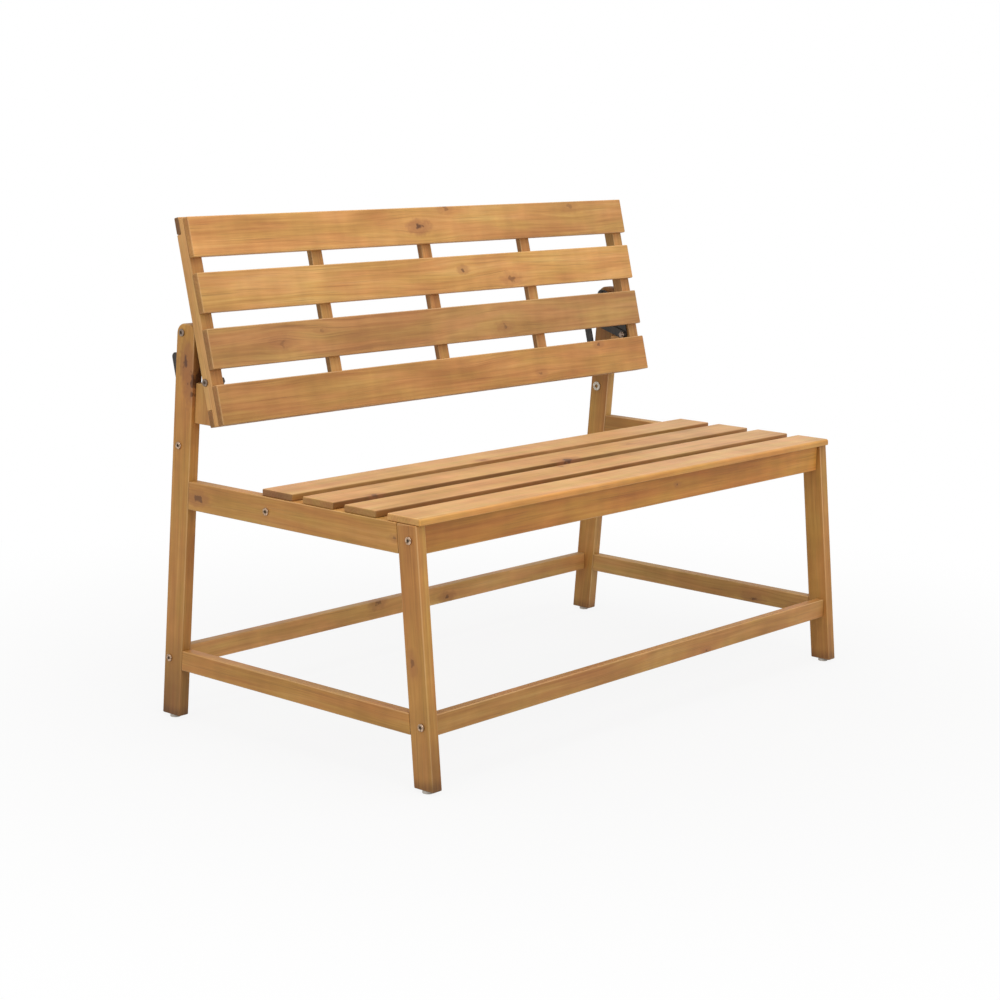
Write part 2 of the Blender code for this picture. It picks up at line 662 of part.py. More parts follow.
def pivot_bolts(posts, plates):
    # The back turns on a bolt through each post, whose collar keeps the plate off the post
    outer = LEG_OUTER + SEAT_GAP
    collar = outer - (LEG_INNER - SEAT_GAP)
    collar_end = outer - (PLATE_OUTER + SEAT_GAP)
    nut_seat = outer - (PLATE_INNER - SEAT_GAP)
    shape = bolt_with_nut(nut_seat, PIVOT_BOLT_RADIUS)
    shank = shape.index((nut_seat, PIVOT_BOLT_RADIUS))
    shape[shank:shank] = [(collar, PIVOT_BOLT_RADIUS), (collar, SPACER_RADIUS),
                          (collar_end, SPACER_RADIUS), (collar_end, PIVOT_BOLT_RADIUS)]
    bore = bore_profile(-BOLT_HEAD_HEIGHT, nut_seat + NUT_HEIGHT, PIVOT_BOLT_RADIUS + SEAT_GAP)
    bores = []
    for side, sign in SIDES:
        start = (sign * outer, *PIVOT)
        fastener("pivot_bolt_" + side, shape, start, (-sign, 0, 0), BLACK_BOLT)
        bores.append((bore, start, (-sign, 0, 0)))
    tool = helper("pivot_bolt_bores", bores)
    for piece in posts + plates:
        cut(piece, tool)


def stay_screws(posts, lower_stays):
    # A shoulder screw in each post's inner face carries the lower link
    seat = LOWER_STAY_INNER - SEAT_GAP
    length = STEEL_THICKNESS + 2 * SEAT_GAP + STAY_SCREW_LENGTH
    shape = bolt_profile(length, BOLT_RADIUS, BOLT_HEAD_RADIUS)
    bore = bore_profile(-BOLT_HEAD_HEIGHT, length + SEAT_GAP, BOLT_RADIUS + SEAT_GAP)
    bores = []
    for side, sign in SIDES:
        start = (sign * seat, *STAY_FOOT)
        fastener("stay_screw_" + side, shape, start, (sign, 0, 0), BLACK_BOLT)
        bores.append((bore, start, (sign, 0, 0)))
    tool = helper("stay_screw_bores", bores)
    for piece in posts + lower_stays:
        cut(piece, tool)


def sleeve_bolts(posts):
    # A bolt through each post, screwed into a flanged sleeve nut whose flange lies inside
    z = STAY_POST_HEIGHT - SLEEVE_BOLT_BELOW_STAY
    y = post_rear(z) - SLEEVE_BOLT_FROM_REAR
    outer = LEG_OUTER + SEAT_GAP
    flange = LEG_THICKNESS + 2 * SEAT_GAP
    flange_end = flange + SLEEVE_FLANGE_HEIGHT
    shape = bolt_profile(flange, SLEEVE_RADIUS, BOLT_HEAD_RADIUS)[:-1]
    shape += [(flange, SLEEVE_FLANGE_RADIUS), (flange_end - SLEEVE_RIM, SLEEVE_FLANGE_RADIUS),
              (flange_end, SLEEVE_FLANGE_RADIUS - SLEEVE_RIM),
              (flange_end, SLEEVE_BORE_RADIUS), (flange - SLEEVE_BORE_DEPTH, SLEEVE_BORE_RADIUS),
              (flange - SLEEVE_BORE_DEPTH, 0)]
    bore = bore_profile(-BOLT_HEAD_HEIGHT, flange_end, SLEEVE_RADIUS + SEAT_GAP)
    bores = []
    for side, sign in SIDES:
        start = (sign * outer, y, z)
        fastener("sleeve_bolt_" + side, shape, start, (-sign, 0, 0), ZINC)
        bores.append((bore, start, (-sign, 0, 0)))
    tool = helper("sleeve_bores", bores)
    for piece in posts:
        cut(piece, tool)


def foot_glides():
    z = GLIDE_HEIGHT - SEAT_GAP
    shape = [(0, 0), (0, GLIDE_RADIUS - GLIDE_RIM), (GLIDE_RIM, GLIDE_RADIUS),
             (z, GLIDE_RADIUS), (z, 0)]
    for side, sign in SIDES:
        x = sign * (LEG_OUTER + LEG_INNER) / 2
        for place, y in (("rear", (post_front(GLIDE_HEIGHT) + post_rear(GLIDE_HEIGHT)) / 2),
                         ("front", (leg_front(GLIDE_HEIGHT) + leg_rear(GLIDE_HEIGHT)) / 2)):
            fastener("foot_glide_%s_%s" % (place, side), shape, (x, y, 0), (0, 0, 1),
                     GREY_PLASTIC, sides=GLIDE_SIDES)


def report_places():
    # What the joints need to know
    table_knee = knee(STAY_BOLT_AT_TABLE, STAY_FOOT, UPPER_STAY_LENGTH, LOWER_STAY_LENGTH)
    lower_rest = math.atan2(KNEE[1] - STAY_FOOT[1], KNEE[0] - STAY_FOOT[0])
    lower_table = math.atan2(table_knee[1] - STAY_FOOT[1], table_knee[0] - STAY_FOOT[0])
    upper_rest = math.atan2(KNEE[1] - STAY_BOLT[1], KNEE[0] - STAY_BOLT[0])
    upper_table = math.atan2(table_knee[1] - STAY_BOLT_AT_TABLE[1],
                             table_knee[0] - STAY_BOLT_AT_TABLE[0])
    lower_turn = lower_table - lower_rest
    upper_turn = (upper_table - upper_rest + TABLE_SWING + math.pi) % (2 * math.pi) - math.pi
    print("back pivot", PIVOT, "swing", math.degrees(TABLE_SWING))
    print("stay bolt", STAY_BOLT, "stay foot", STAY_FOOT, "knee", KNEE, "at table", table_knee)
    print("lower link", LOWER_STAY_LENGTH, "turns", math.degrees(lower_turn),
          "ratio", -lower_turn / TABLE_SWING)
    print("upper link turns on the back", math.degrees(upper_turn),
          "ratio", -upper_turn / TABLE_SWING)


def build():
    clear_scene()
    back_pivot = pivot_empty("back_pivot", 0.0, PIVOT)
    upper_pivots = {}
    lower_pivots = {}
    for side, sign in SIDES:
        upper_pivots[side] = pivot_empty("stay_upper_pivot_" + side, sign * UPPER_STAY_OUTER,
                                         STAY_BOLT)
        lower_pivots[side] = pivot_empty("stay_lower_pivot_" + side, sign * LOWER_STAY_OUTER,
                                         STAY_FOOT)
    posts, legs, rails = side_frames()
    crosses, centres = cross_pieces()
    frame_bolts(crosses, centres, posts + legs + rails)
    seat()
    back_panel(back_pivot)
    end_battens = back_end_battens(back_pivot)
    stop_blocks(back_pivot)
    plates = hinge_plates(back_pivot)
    upper_stays, lower_stays = stays(upper_pivots, lower_pivots)
    batten_bolts(end_battens, plates, upper_stays, back_pivot)
    plate_bolts(end_battens, plates, back_pivot)
    pivot_bolts(posts, plates)
    stay_screws(posts, lower_stays)
    sleeve_bolts(posts)
    foot_glides()
    report_places()


build()
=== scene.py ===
import json
import math

import bmesh
import bpy
from mathutils import Matrix, Vector


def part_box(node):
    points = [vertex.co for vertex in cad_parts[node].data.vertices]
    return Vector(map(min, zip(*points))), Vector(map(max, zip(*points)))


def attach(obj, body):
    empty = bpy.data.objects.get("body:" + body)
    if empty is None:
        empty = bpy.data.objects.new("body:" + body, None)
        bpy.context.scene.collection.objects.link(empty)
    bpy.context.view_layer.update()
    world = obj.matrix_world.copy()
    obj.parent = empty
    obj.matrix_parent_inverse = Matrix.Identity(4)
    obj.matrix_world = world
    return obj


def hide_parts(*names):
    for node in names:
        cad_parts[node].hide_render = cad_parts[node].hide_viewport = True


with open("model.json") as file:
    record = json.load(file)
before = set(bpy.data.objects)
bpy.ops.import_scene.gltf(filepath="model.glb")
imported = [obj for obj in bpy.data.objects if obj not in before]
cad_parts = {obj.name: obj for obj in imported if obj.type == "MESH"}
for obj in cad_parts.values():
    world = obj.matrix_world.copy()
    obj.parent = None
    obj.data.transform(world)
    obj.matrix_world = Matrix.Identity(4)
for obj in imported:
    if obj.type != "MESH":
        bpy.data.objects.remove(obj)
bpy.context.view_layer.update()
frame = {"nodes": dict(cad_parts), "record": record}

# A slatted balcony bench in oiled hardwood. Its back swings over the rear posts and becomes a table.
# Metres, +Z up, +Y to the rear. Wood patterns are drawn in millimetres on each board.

bodyOf = {node: body for body, nodes in frame["record"]["behaviour"]["bodies"].items() for node in nodes}
slotOf = {row["node"]: row["material_slot"] for row in frame["record"]["subparts"]}
print("frame loaded:", len(frame["nodes"]), "parts")


# Camera

cameraView = {
    "place": (-2.8019, -2.3611, 1.0250),
    "headingDegrees": 49.2898,      # from +Y towards +X
    "dipDegrees": 10.7197,
    "rollDegrees": -1.1762,
    "lens": 77.914,
    "sensor": 36.0,
}


def placeCamera(view):
    heading, dip, roll = [math.radians(view[key + "Degrees"]) for key in ("heading", "dip", "roll")]
    ahead = Vector((math.sin(heading) * math.cos(dip), math.cos(heading) * math.cos(dip),
                    -math.sin(dip)))
    level = Vector((math.cos(heading), -math.sin(heading), 0))
    below = ahead.cross(level)
    right = level * math.cos(roll) + below * math.sin(roll)
    down = below * math.cos(roll) - level * math.sin(roll)
    turn = Matrix((right, -down, -ahead)).transposed()
    bpy.ops.object.camera_add(location=view["place"], rotation=turn.to_euler())
    camera = bpy.context.object
    camera.data.lens = view["lens"]
    camera.data.sensor_width = view["sensor"]
    bpy.context.scene.camera = camera


placeCamera(cameraView)
bpy.context.scene.view_settings.view_transform = "Standard"


class Wire:
    # A node's output that can be used in sums like a number

    def __init__(self, finish, socket):
        self.finish = finish
        self.socket = socket

    def maths(self, operation, *values):
        return self.finish.add("ShaderNodeMath", {"operation": operation}, dict(enumerate(values)))

    def __add__(self, other):
        return self.maths("ADD", self, other)

    def __mul__(self, other):
        return self.maths("MULTIPLY", self, other)

    def __sub__(self, other):
        return self.maths("SUBTRACT", self, other)

    def __rsub__(self, other):
        return self.maths("SUBTRACT", other, self)

    def __truediv__(self, other):
        return self.maths("DIVIDE", self, other)

    def __rtruediv__(self, other):
        return self.maths("DIVIDE", other, self)

    def __pow__(self, other):
        return self.maths("POWER", self, other)

    __radd__ = __add__
    __rmul__ = __mul__

    def size(self):
        return self.maths("ABSOLUTE", self)

    def sine(self):
        return self.maths("SINE", self)

    def atLeast(self, other):
        return self.maths("MAXIMUM", self, other)

    def atMost(self, other):
        return self.maths("MINIMUM", self, other)

    def rise(self, low, high):
        # 0 below low, 1 above high, smooth between
        return self.finish.add("ShaderNodeMapRange", {"interpolation_type": "SMOOTHSTEP"},
                               {"Value": self, "From Min": low, "From Max": high})

    def fall(self, low, high):
        return 1 - self.rise(low, high)


class Finish:
    # The nodes of one material, or of the world

    def __init__(self, name, world=None):
        self.material = world or bpy.data.materials.new(name)
        self.material.use_nodes = True
        self.nodes = self.material.node_tree.nodes
        self.links = self.material.node_tree.links
        self.surface = self.nodes["Background" if world else "Principled BSDF"]
        self.output = self.nodes["World Output" if world else "Material Output"]

    def add(self, kind, settings=None, values=None, out=0):
        node = self.nodes.new(kind)
        for key, setting in (settings or {}).items():
            if key == "stops":
                self.setStops(node.color_ramp, setting)
            else:
                setattr(node, key, setting)
        for key, value in (values or {}).items():
            self.feed(node.inputs[key], value)
        if isinstance(out, tuple):
            return [Wire(self, node.outputs[name]) for name in out]
        return Wire(self, node.outputs[out])

    def setStops(self, ramp, stops):
        while len(ramp.elements) < len(stops):
            ramp.elements.new(0.5)
        for element, (place, colour) in zip(ramp.elements, stops):
            element.position = place
            element.color = (*colour, 1)

    def feed(self, socket, value):
        if isinstance(value, Wire):
            self.links.new(value.socket, socket)
        elif isinstance(value, tuple) and len(value) == 3 and socket.type == "RGBA":
            socket.default_value = (*value, 1)
        else:
            socket.default_value = value

    def shine(self, **values):
        # Values of the surface's shader, with spaces left out of their names
        names = {key.replace(" ", ""): key for key in self.surface.inputs.keys()}
        for key, value in values.items():
            self.feed(self.surface.inputs[names[key]], value)

    def spot(self):
        return self.add("ShaderNodeTexCoord", out="Object")

    def noise(self, place, along, across=None, detail=2.0, roughness=0.5, shift=(0, 0, 0)):
        # Cells per unit of length along the grain and across it, or the same both ways
        stretch = (along, across or along, across or along)
        moved = self.add("ShaderNodeVectorMath", {"operation": "MULTIPLY_ADD"},
                         {0: place, 1: stretch, 2: shift}, out="Vector")
        return self.add("ShaderNodeTexNoise", {}, {"Vector": moved, "Scale": 1.0, "Detail": detail,
                                                   "Roughness": roughness}, out="Fac")

    def blend(self, amount, first, second, way="MIX"):
        return self.add("ShaderNodeMix", {"data_type": "RGBA", "blend_type": way},
                        {0: amount, 6: first, 7: second}, out=2)

    def tint(self, amount, colour, shade):
        return self.blend(amount, colour, shade, "MULTIPLY")

    def bump(self, height, strength, distance):
        self.shine(Normal=self.add("ShaderNodeBump", {}, {"Height": height, "Strength": strength,
                                                          "Distance": distance}, out="Normal"))


# Floor and light

studio = {
    "floorSize": 14.0,
    "floorColour": (0.50, 0.49, 0.48),
    "whiteFrom": 0.4,               # radii in metres between which the floor fades to white
    "whiteTo": 1.6,
    "nearWhite": 0.88,              # how white it is round the bench
    "skyLight": 0.56,
    "lampsAimAt": (0, 0, 0.4),
    "lamps": (                      # name, place, side in metres, power in watts
        ("topSoftBox", (-0.3, -0.5, 3.2), 2.6, 60.0),
        ("frontSoftBox", (-1.2, -3.4, 1.9), 2.2, 40.0),
        ("leftSoftBox", (-3.6, 0.3, 1.5), 2.0, 20.0),
    ),
}


def showWhite(finish, kind, share):
    # The camera, a reflection and a glass ray see plain white there, which lights nothing
    rays = finish.add("ShaderNodeLightPath", out=("Is Camera Ray", "Is Glossy Ray",
                                                  "Is Transmission Ray"))
    looking = rays[0].atLeast(rays[1]).atLeast(rays[2])
    white = finish.add(kind, {}, {"Color": (1, 1, 1), "Strength": 1.0})
    mixed = finish.add("ShaderNodeMixShader", {}, {
        0: looking * share, 1: Wire(finish, finish.surface.outputs[0]), 2: white})
    finish.feed(finish.output.inputs["Surface"], mixed)


def layFloor(plan):
    bpy.ops.mesh.primitive_plane_add(size=plan["floorSize"])
    floor = bpy.context.object
    floor.name = "floor"
    paper = Finish("floorPaper")
    away = paper.add("ShaderNodeVectorMath", {"operation": "LENGTH"}, {0: paper.spot()}, out="Value")
    near = plan["nearWhite"]
    paper.shine(BaseColor=plan["floorColour"], Roughness=0.9)
    showWhite(paper, "ShaderNodeEmission",
              away.rise(plan["whiteFrom"], plan["whiteTo"]) * (1 - near) + near)
    floor.data.materials.append(paper.material)


def lightStudio(plan):
    world = bpy.data.worlds.new("paleStudio")
    bpy.context.scene.world = world
    sky = Finish("sky", world)
    sky.shine(Color=(1, 1, 1), Strength=plan["skyLight"])
    showWhite(sky, "ShaderNodeBackground", 1.0)
    for name, place, side, power in plan["lamps"]:
        towards = Vector(plan["lampsAimAt"]) - Vector(place)
        bpy.ops.object.light_add(type="AREA", location=place,
                                 rotation=towards.to_track_quat("-Z", "Y").to_euler())
        lamp = bpy.context.object
        lamp.name = name
        lamp.data.size = side
        lamp.data.energy = power


layFloor(studio)
lightStudio(studio)
print("camera, floor and light placed")


# Modelling steps

sharpAngle = 35                     # degrees from which an edge is eased
smoothAngle = 40                    # degrees up to which a round is shaded softly
faceReach = 0.001                   # how near to a face its corners are looked for
rimReach = 0.00001
levelNormal = 0.99                  # the least upward share of a level face's normal


def pickNone():
    bpy.ops.object.select_all(action="DESELECT")


def pickOnly(piece):
    pickNone()
    piece.select_set(True)
    bpy.context.view_layer.objects.active = piece


def editAll(piece):
    pickOnly(piece)
    bpy.ops.object.mode_set(mode="EDIT")
    bpy.ops.mesh.select_all(action="SELECT")


def editNone(piece, kind):
    editAll(piece)
    bpy.ops.mesh.select_mode(type=kind)
    bpy.ops.mesh.select_all(action="DESELECT")


def editDone():
    bpy.ops.object.mode_set(mode="OBJECT")


def applyPlace(piece):
    pickOnly(piece)
    bpy.ops.object.transform_apply(location=True, rotation=True, scale=True)


def cubeAt(name, size, place, lean=0.0):
    pickNone()
    bpy.ops.mesh.primitive_cube_add(size=1, location=place, rotation=(-lean, 0, 0), scale=size)
    piece = bpy.context.object
    piece.name = name
    applyPlace(piece)
    return piece


def trim(piece, through, outward):
    # Saws the piece off at a plane and closes the cut
    editAll(piece)
    bpy.ops.mesh.bisect(plane_co=through, plane_no=outward, use_fill=True, clear_outer=True)
    editDone()


def pickEdges(piece, wanted):
    # Selects the edges whose two ends satisfy wanted
    editNone(piece, "EDGE")
    mesh = bmesh.from_edit_mesh(piece.data)
    for edge in mesh.edges:
        edge.select_set(wanted(edge.verts[0].co, edge.verts[1].co))
    bmesh.update_edit_mesh(piece.data)


def pickFlat(piece, way):
    # Selects the level faces that look up, where way is 1, or down, where it is -1
    editNone(piece, "FACE")
    mesh = bmesh.from_edit_mesh(piece.data)
    for face in mesh.faces:
        face.select_set(face.normal.z * way > levelNormal)
    bmesh.update_edit_mesh(piece.data)


def bevelPicked(radius, steps):
    bpy.ops.mesh.bevel(offset=radius, segments=steps, affect="EDGES")
    editDone()


def easeEdges(piece, radius, steps):
    # Rounds every sharp edge
    editNone(piece, "EDGE")
    bpy.ops.mesh.edges_select_sharp(sharpness=math.radians(sharpAngle))
    bevelPicked(radius, steps)


def cutWith(piece, cutter):
    # Cuts a hole with another solid, which is then thrown away
    pickOnly(piece)
    change = piece.modifiers.new("cut", "BOOLEAN")
    change.operation = "DIFFERENCE"
    change.solver = "EXACT"
    change.object = cutter
    bpy.ops.object.modifier_apply(modifier=change.name)
    bpy.data.objects.remove(cutter, do_unlink=True)


def smooth(piece):
    # Shades round edges softly and keeps flat faces flat
    pickOnly(piece)
    bpy.ops.object.shade_smooth_by_angle(angle=math.radians(smoothAngle))
    even = piece.modifiers.new("evenShading", "WEIGHTED_NORMAL")
    even.keep_sharp = True
    bpy.ops.object.modifier_apply(modifier=even.name)


def middleOf(low, high):
    return (low + high) / 2


def mount(piece, node, *finishes):
    # The piece stands for that part: it takes its body and the given finishes
    smooth(piece)
    for finish in finishes:
        piece.data.materials.append(finish.material)
    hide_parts(node)
    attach(piece, bodyOf[node])


# Wood

woodTones = {
    # pale, honey, amber and brown, for each slot
    "frame_wood": ((0.56, 0.31, 0.092), (0.47, 0.23, 0.058), (0.365, 0.158, 0.036), (0.19, 0.078, 0.019)),
    "seat_wood": ((0.63, 0.385, 0.18), (0.55, 0.31, 0.128), (0.44, 0.222, 0.08), (0.25, 0.11, 0.036)),
    "back_wood": ((0.62, 0.35, 0.125), (0.53, 0.27, 0.083), (0.40, 0.18, 0.05), (0.22, 0.088, 0.027)),
}
woodNoise = {
    # cells per millimetre along and across the board, detail, roughness
    "ragged": (0.085, 0.11, 2.0, 0.5),
    "bend": (0.0035, 0.012, 1.0, 0.5),
    "broad": (0.0045, 0.024, 3.0, 0.55),
    "streak": (0.0044, 0.21, 4.0, 0.65),
    "fibre": (0.030, 1.3, 2.0, 0.6),
    "tint": (0.0075, 0.045, 2.0, 0.5),
    "vein": (0.006, 0.55, 2.0, 0.5),
    "sheenAndMottle": (0.030, 0.011, 2.0, 0.5),
}
woodPattern = {
    "toneStops": (0.30, 0.45, 0.62, 0.86),
    "broadShare": 0.56, "streakShare": 0.36, "lateShare": 0.05, "toneShift": 0.005,
    "ringSpacing": 5.0,             # millimetres between the dark lines of growth
    "ringSharpness": 2.5, "grainWander": 15.0, "ringWander": 12.0,
    "pithAcross": 1.1,              # in half widths from the middle of the board
    "pithThrough": 1.6, "pithDepth": 14, "pithSpread": 16,
    "fibreShade": 0.17, "sheenAndMottleShade": 0.16, "veinShade": 0.22, "veinRange": (0.58, 0.72),
    "yellowTint": (1.00, 1.05, 0.90), "redTint": (1.04, 0.945, 0.93), "tintRange": (0.30, 0.70),
    "knotColour": (0.085, 0.030, 0.011), "knotShare": 0.88,
    "haloColour": (0.27, 0.092, 0.036), "haloShare": 0.55,
    "knotPush": 0.8, "pushReach": 4.0, "pushLength": 7.0,
    "knotRagged": (5.0, 3.2),       # along and across, in radii of the knot
    "knotLength": 2.4, "knotCore": 0.12, "haloLength": 5.0, "haloFrom": 0.6, "haloTo": 8.0,
    # Painted highlight along the rounded edges of every board
    "edgeHighlightColour": (0.78, 0.52, 0.25), "edgeHighlightWidth": 2.4, "edgeHighlightShare": 0.46,
    "endShade": (0.66, 0.58, 0.47), "endDepth": 1.3, "endDark": 0.6,
    "sideFrom": 0.25, "sideReach": 1.4, "topReach": 270,
    "footShade": (0.55, 0.50, 0.46), "footReach": 170,
    "bottomShadeFrom": 1.5, "bottomShadeReach": 22,   # painted shade, darkest at the very end of a foot
    "roughness": 0.46, "fibreRoughness": 0.16, "gloss": 0.40,
    "fibreHeight": 0.5, "lateHeight": 0.15, "veinDepth": 0.5, "knotDepth": 0.8,
    "bump": (0.22, 0.0003),         # strength, distance in metres
}


def oiledWood(node, board, look):
    # Grain runs along the board. u, v, w are millimetres along, across and through it.
    finish = Finish(node + "_oiled")
    wood = woodPattern
    seed = look["seed"]
    turn = Matrix(board["axes"])
    place = finish.add("ShaderNodeMapping", {}, {
        "Vector": finish.spot(), "Scale": (1000, 1000, 1000), "Rotation": turn.to_euler(),
        "Location": turn @ board["centre"] * -1000}, out="Vector")
    u, v, w = finish.add("ShaderNodeSeparateXYZ", {}, {0: place}, out=("X", "Y", "Z"))
    halfAlong, halfAcross, halfThrough = board["half"]
    shift = (seed * 13.7, seed * 7.1, seed * 3.3)

    # Knots push the grain aside
    flow = v
    knot = halo = None
    knots = look.get("knots", ())
    if knots:
        ragged = [finish.noise(place, *woodNoise["ragged"], (seed * step, step, 0)) - 0.5
                  for step in (4.3, 9.1)]
    for along, across, radius, strength in knots:
        square = radius * radius
        du = u - along
        dv = v - across
        push = square * wood["pushReach"]
        aside = push / (du * du / wood["pushLength"] + dv * dv + push)
        flow = flow - dv * aside * wood["knotPush"]
        du = du + ragged[0] * (radius * wood["knotRagged"][0])
        dv = dv + ragged[1] * (radius * wood["knotRagged"][1])
        core = (du * du / wood["knotLength"] + dv * dv).fall(square * wood["knotCore"], square) * strength
        ring = strength * (du * du / wood["haloLength"] + dv * dv).fall(
            square * wood["haloFrom"], square * wood["haloTo"])
        knot = core if knot is None else knot.atLeast(core)
        halo = ring if halo is None else halo.atLeast(ring)

    # The grain wanders slowly, and growth rings run round a pith outside the board
    bend = finish.noise(place, *woodNoise["bend"], shift)
    flow = flow + bend * wood["grainWander"]
    pithAcross = math.sin(seed * 2.3) * halfAcross * wood["pithAcross"]
    pithThrough = -(halfThrough * wood["pithThrough"] + wood["pithDepth"]
                    + wood["pithSpread"] * math.cos(seed * 1.7) ** 2)
    side = flow - pithAcross
    deep = w - pithThrough
    ringPlace = (side * side + deep * deep) ** 0.5 + bend * wood["ringWander"]
    wave = (ringPlace * (2 * math.pi / wood["ringSpacing"])).sine() * 0.5 + 0.5
    late = wave ** wood["ringSharpness"]

    flowPlace = finish.add("ShaderNodeCombineXYZ", {}, {0: u, 1: flow, 2: w})
    broad, streak, fibre, vein = [finish.noise(flowPlace, *woodNoise[kind], shift)
                                  for kind in ("broad", "streak", "fibre", "vein")]
    tint = finish.noise(flowPlace, *woodNoise["tint"], (seed * 5.1, seed * 2.9, seed * 8.3))
    sheenAndMottle = finish.noise(place, *woodNoise["sheenAndMottle"], shift)
    vein = vein.rise(*wood["veinRange"])

    tone = broad * wood["broadShare"] + streak * wood["streakShare"] + late * wood["lateShare"]
    tone = tone + look.get("tone", 0.0) + wood["toneShift"]
    tones = woodTones[look.get("wood", slotOf[node])]
    colour = finish.add("ShaderNodeValToRGB", {"stops": tuple(zip(wood["toneStops"], tones))},
                        {0: tone}, out="Color")
    hue = finish.blend(tint.rise(*wood["tintRange"]), wood["yellowTint"], wood["redTint"])
    colour = finish.tint(1.0, colour, hue)
    if "cast" in look:
        colour = finish.tint(1.0, colour, look["cast"])
    shade = fibre * wood["fibreShade"] * 2 + (1 - wood["fibreShade"])
    shade = shade * (1 - vein * wood["veinShade"]) * look.get("shade", 1.0)
    # Soft light patches across the grain: partly the wood's own mottling, partly a painted sheen
    shade = shade * (sheenAndMottle * (wood["sheenAndMottleShade"] * 2) + (1 - wood["sheenAndMottleShade"]))
    if "drift" in look:
        # One end of the board is lighter than the other
        shade = shade * (u * (look["drift"] / halfAlong) + 1.0)
    colour = finish.add("ShaderNodeVectorMath", {"operation": "SCALE"}, {0: colour, "Scale": shade},
                        out="Vector")

    # Painted highlights light up the edges, and the end grain is darker
    toEnd = halfAlong - u.size()
    toSide = halfAcross - v.size()
    toFace = halfThrough - w.size()
    nearest = toSide.atMost(toFace)
    second = toSide.atLeast(toFace).atMost(nearest.atLeast(toEnd))
    edgeHighlight = second.fall(0.2, wood["edgeHighlightWidth"]) * (streak.rise(0.40, 0.6) * 0.6 + 0.4)
    colour = finish.blend(edgeHighlight * wood["edgeHighlightShare"], colour, wood["edgeHighlightColour"])
    endGrain = toEnd.fall(wood["endDepth"] * 0.4, wood["endDepth"])
    endDark = 1.0 if "endShade" in look else wood["endDark"]
    colour = finish.tint(endGrain * endDark, colour, look.get("endShade", wood["endShade"]))
    shaded = streak * 0.9 + 0.5
    if "sideDrift" in look:
        shaded = shaded * (1 - u * (look["sideDrift"] / halfAlong))
    for key, depth in (("lowSide", halfAcross + v), ("highSide", halfAcross - v),
                       ("lowFace", halfThrough + w)):
        if key in look:
            # A long side with a tint of its own, which the looks use for painted shade and painted
            # highlights
            onSide = depth.fall(wood["sideFrom"], look.get("sideReach", wood["sideReach"]))
            colour = finish.tint(onSide * shaded, colour, look[key])
    if "topShade" in look:
        # The top of a post is in the shadow of the slats, apart from its front face
        high = (u - halfAlong).rise(-wood["topReach"], -wood["topReach"] * 0.4)
        behind = (halfAcross + v).rise(wood["sideFrom"], wood["sideReach"])
        colour = finish.tint(high * behind, colour, look["topShade"])
    if "foot" in look:
        # Painted shade: a foot is darker, mostly near the floor, and footFront darkens its front face
        # more
        low = (-halfAlong - u).rise(-wood["footReach"], 0)
        inFront = (halfAcross + v).fall(wood["sideFrom"], wood["sideReach"])
        inFront = inFront * look.get("footFront", 0.0)
        colour = finish.tint(low * (inFront + look["foot"]), colour, wood["footShade"])
        bottomShade = (halfAlong + u).fall(wood["bottomShadeFrom"], wood["bottomShadeReach"]) * (streak * 1.4 + 0.2)
        colour = finish.tint(bottomShade, colour, wood["footShade"])
    height = fibre * wood["fibreHeight"] + late * wood["lateHeight"] - vein * wood["veinDepth"]
    if knot is not None:
        colour = finish.blend(halo * wood["haloShare"], colour, wood["haloColour"])
        colour = finish.blend(knot * wood["knotShare"], colour, wood["knotColour"])
        height = height - knot * wood["knotDepth"]
    finish.shine(BaseColor=colour, Roughness=fibre * wood["fibreRoughness"] + wood["roughness"],
                 SpecularIORLevel=wood["gloss"])
    finish.bump(height, *wood["bump"])
    return finish


# Boards

boardEdges = {"radius": 0.0018, "steps": 3}


def boardFrame(centre, size, lean, grain):
    # Axes along, across and through the board, for a grain such as "XZ": along X, across Z
    turned = Matrix.Rotation(-lean, 3, "X")
    units = {"X": Vector((1, 0, 0)), "Y": turned @ Vector((0, 1, 0)), "Z": turned @ Vector((0, 0, 1))}
    sizes = dict(zip("XYZ", size))
    order = grain + "XYZ".replace(grain[0], "").replace(grain[1], "")
    axes = [units[letter] for letter in order]
    if axes[0].cross(axes[1]).dot(axes[2]) < 0:
        axes[2] = -axes[2]
    return {"centre": Vector(centre), "axes": axes, "half": [sizes[letter] * 500 for letter in order]}


def leaningSize(box, lean):
    # A leaning board's length, thickness and width, from its upright box and its eased edges
    cosine, sine = math.cos(lean), math.sin(lean)
    lost = 2 * boardEdges["radius"] * (cosine + sine - 1)
    deep = box.y + lost
    tall = box.z + lost
    share = cosine ** 2 - sine ** 2
    return box.x, (deep * cosine - tall * sine) / share, (tall * cosine - deep * sine) / share


def plainBoard(node, grain, lean=0.0):
    low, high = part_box(node)
    centre = middleOf(low, high)
    size = leaningSize(high - low, lean)
    return cubeAt(node + "_wood", size, centre, lean), boardFrame(centre, size, lean, grain)


def leaningLeg(node, lean, top=None):
    # Sawn level at both ends, with a rounded top if one is given
    low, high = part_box(node)
    slope = math.tan(lean)
    if top:
        low.y -= top["radius"] * abs(slope)
    box = high - low
    wide = (box.y - box.z * abs(slope)) * math.cos(lean)
    size = (box.x, wide, box.z / math.cos(lean) + 2 * wide * abs(slope))
    centre = middleOf(low, high)
    piece = cubeAt(node + "_wood", size, centre, lean)
    trim(piece, (0, 0, low.z), (0, 0, -1))
    trim(piece, (0, 0, high.z), (0, 0, 1))
    if top:
        pickEdges(piece, lambda a, b: min(a.z, b.z) > high.z - faceReach and abs(a.y - b.y) < faceReach)
        bevelPicked(**top)
    return piece, boardFrame(centre, (box.x, wide, box.z / math.cos(lean)), lean, "ZY")


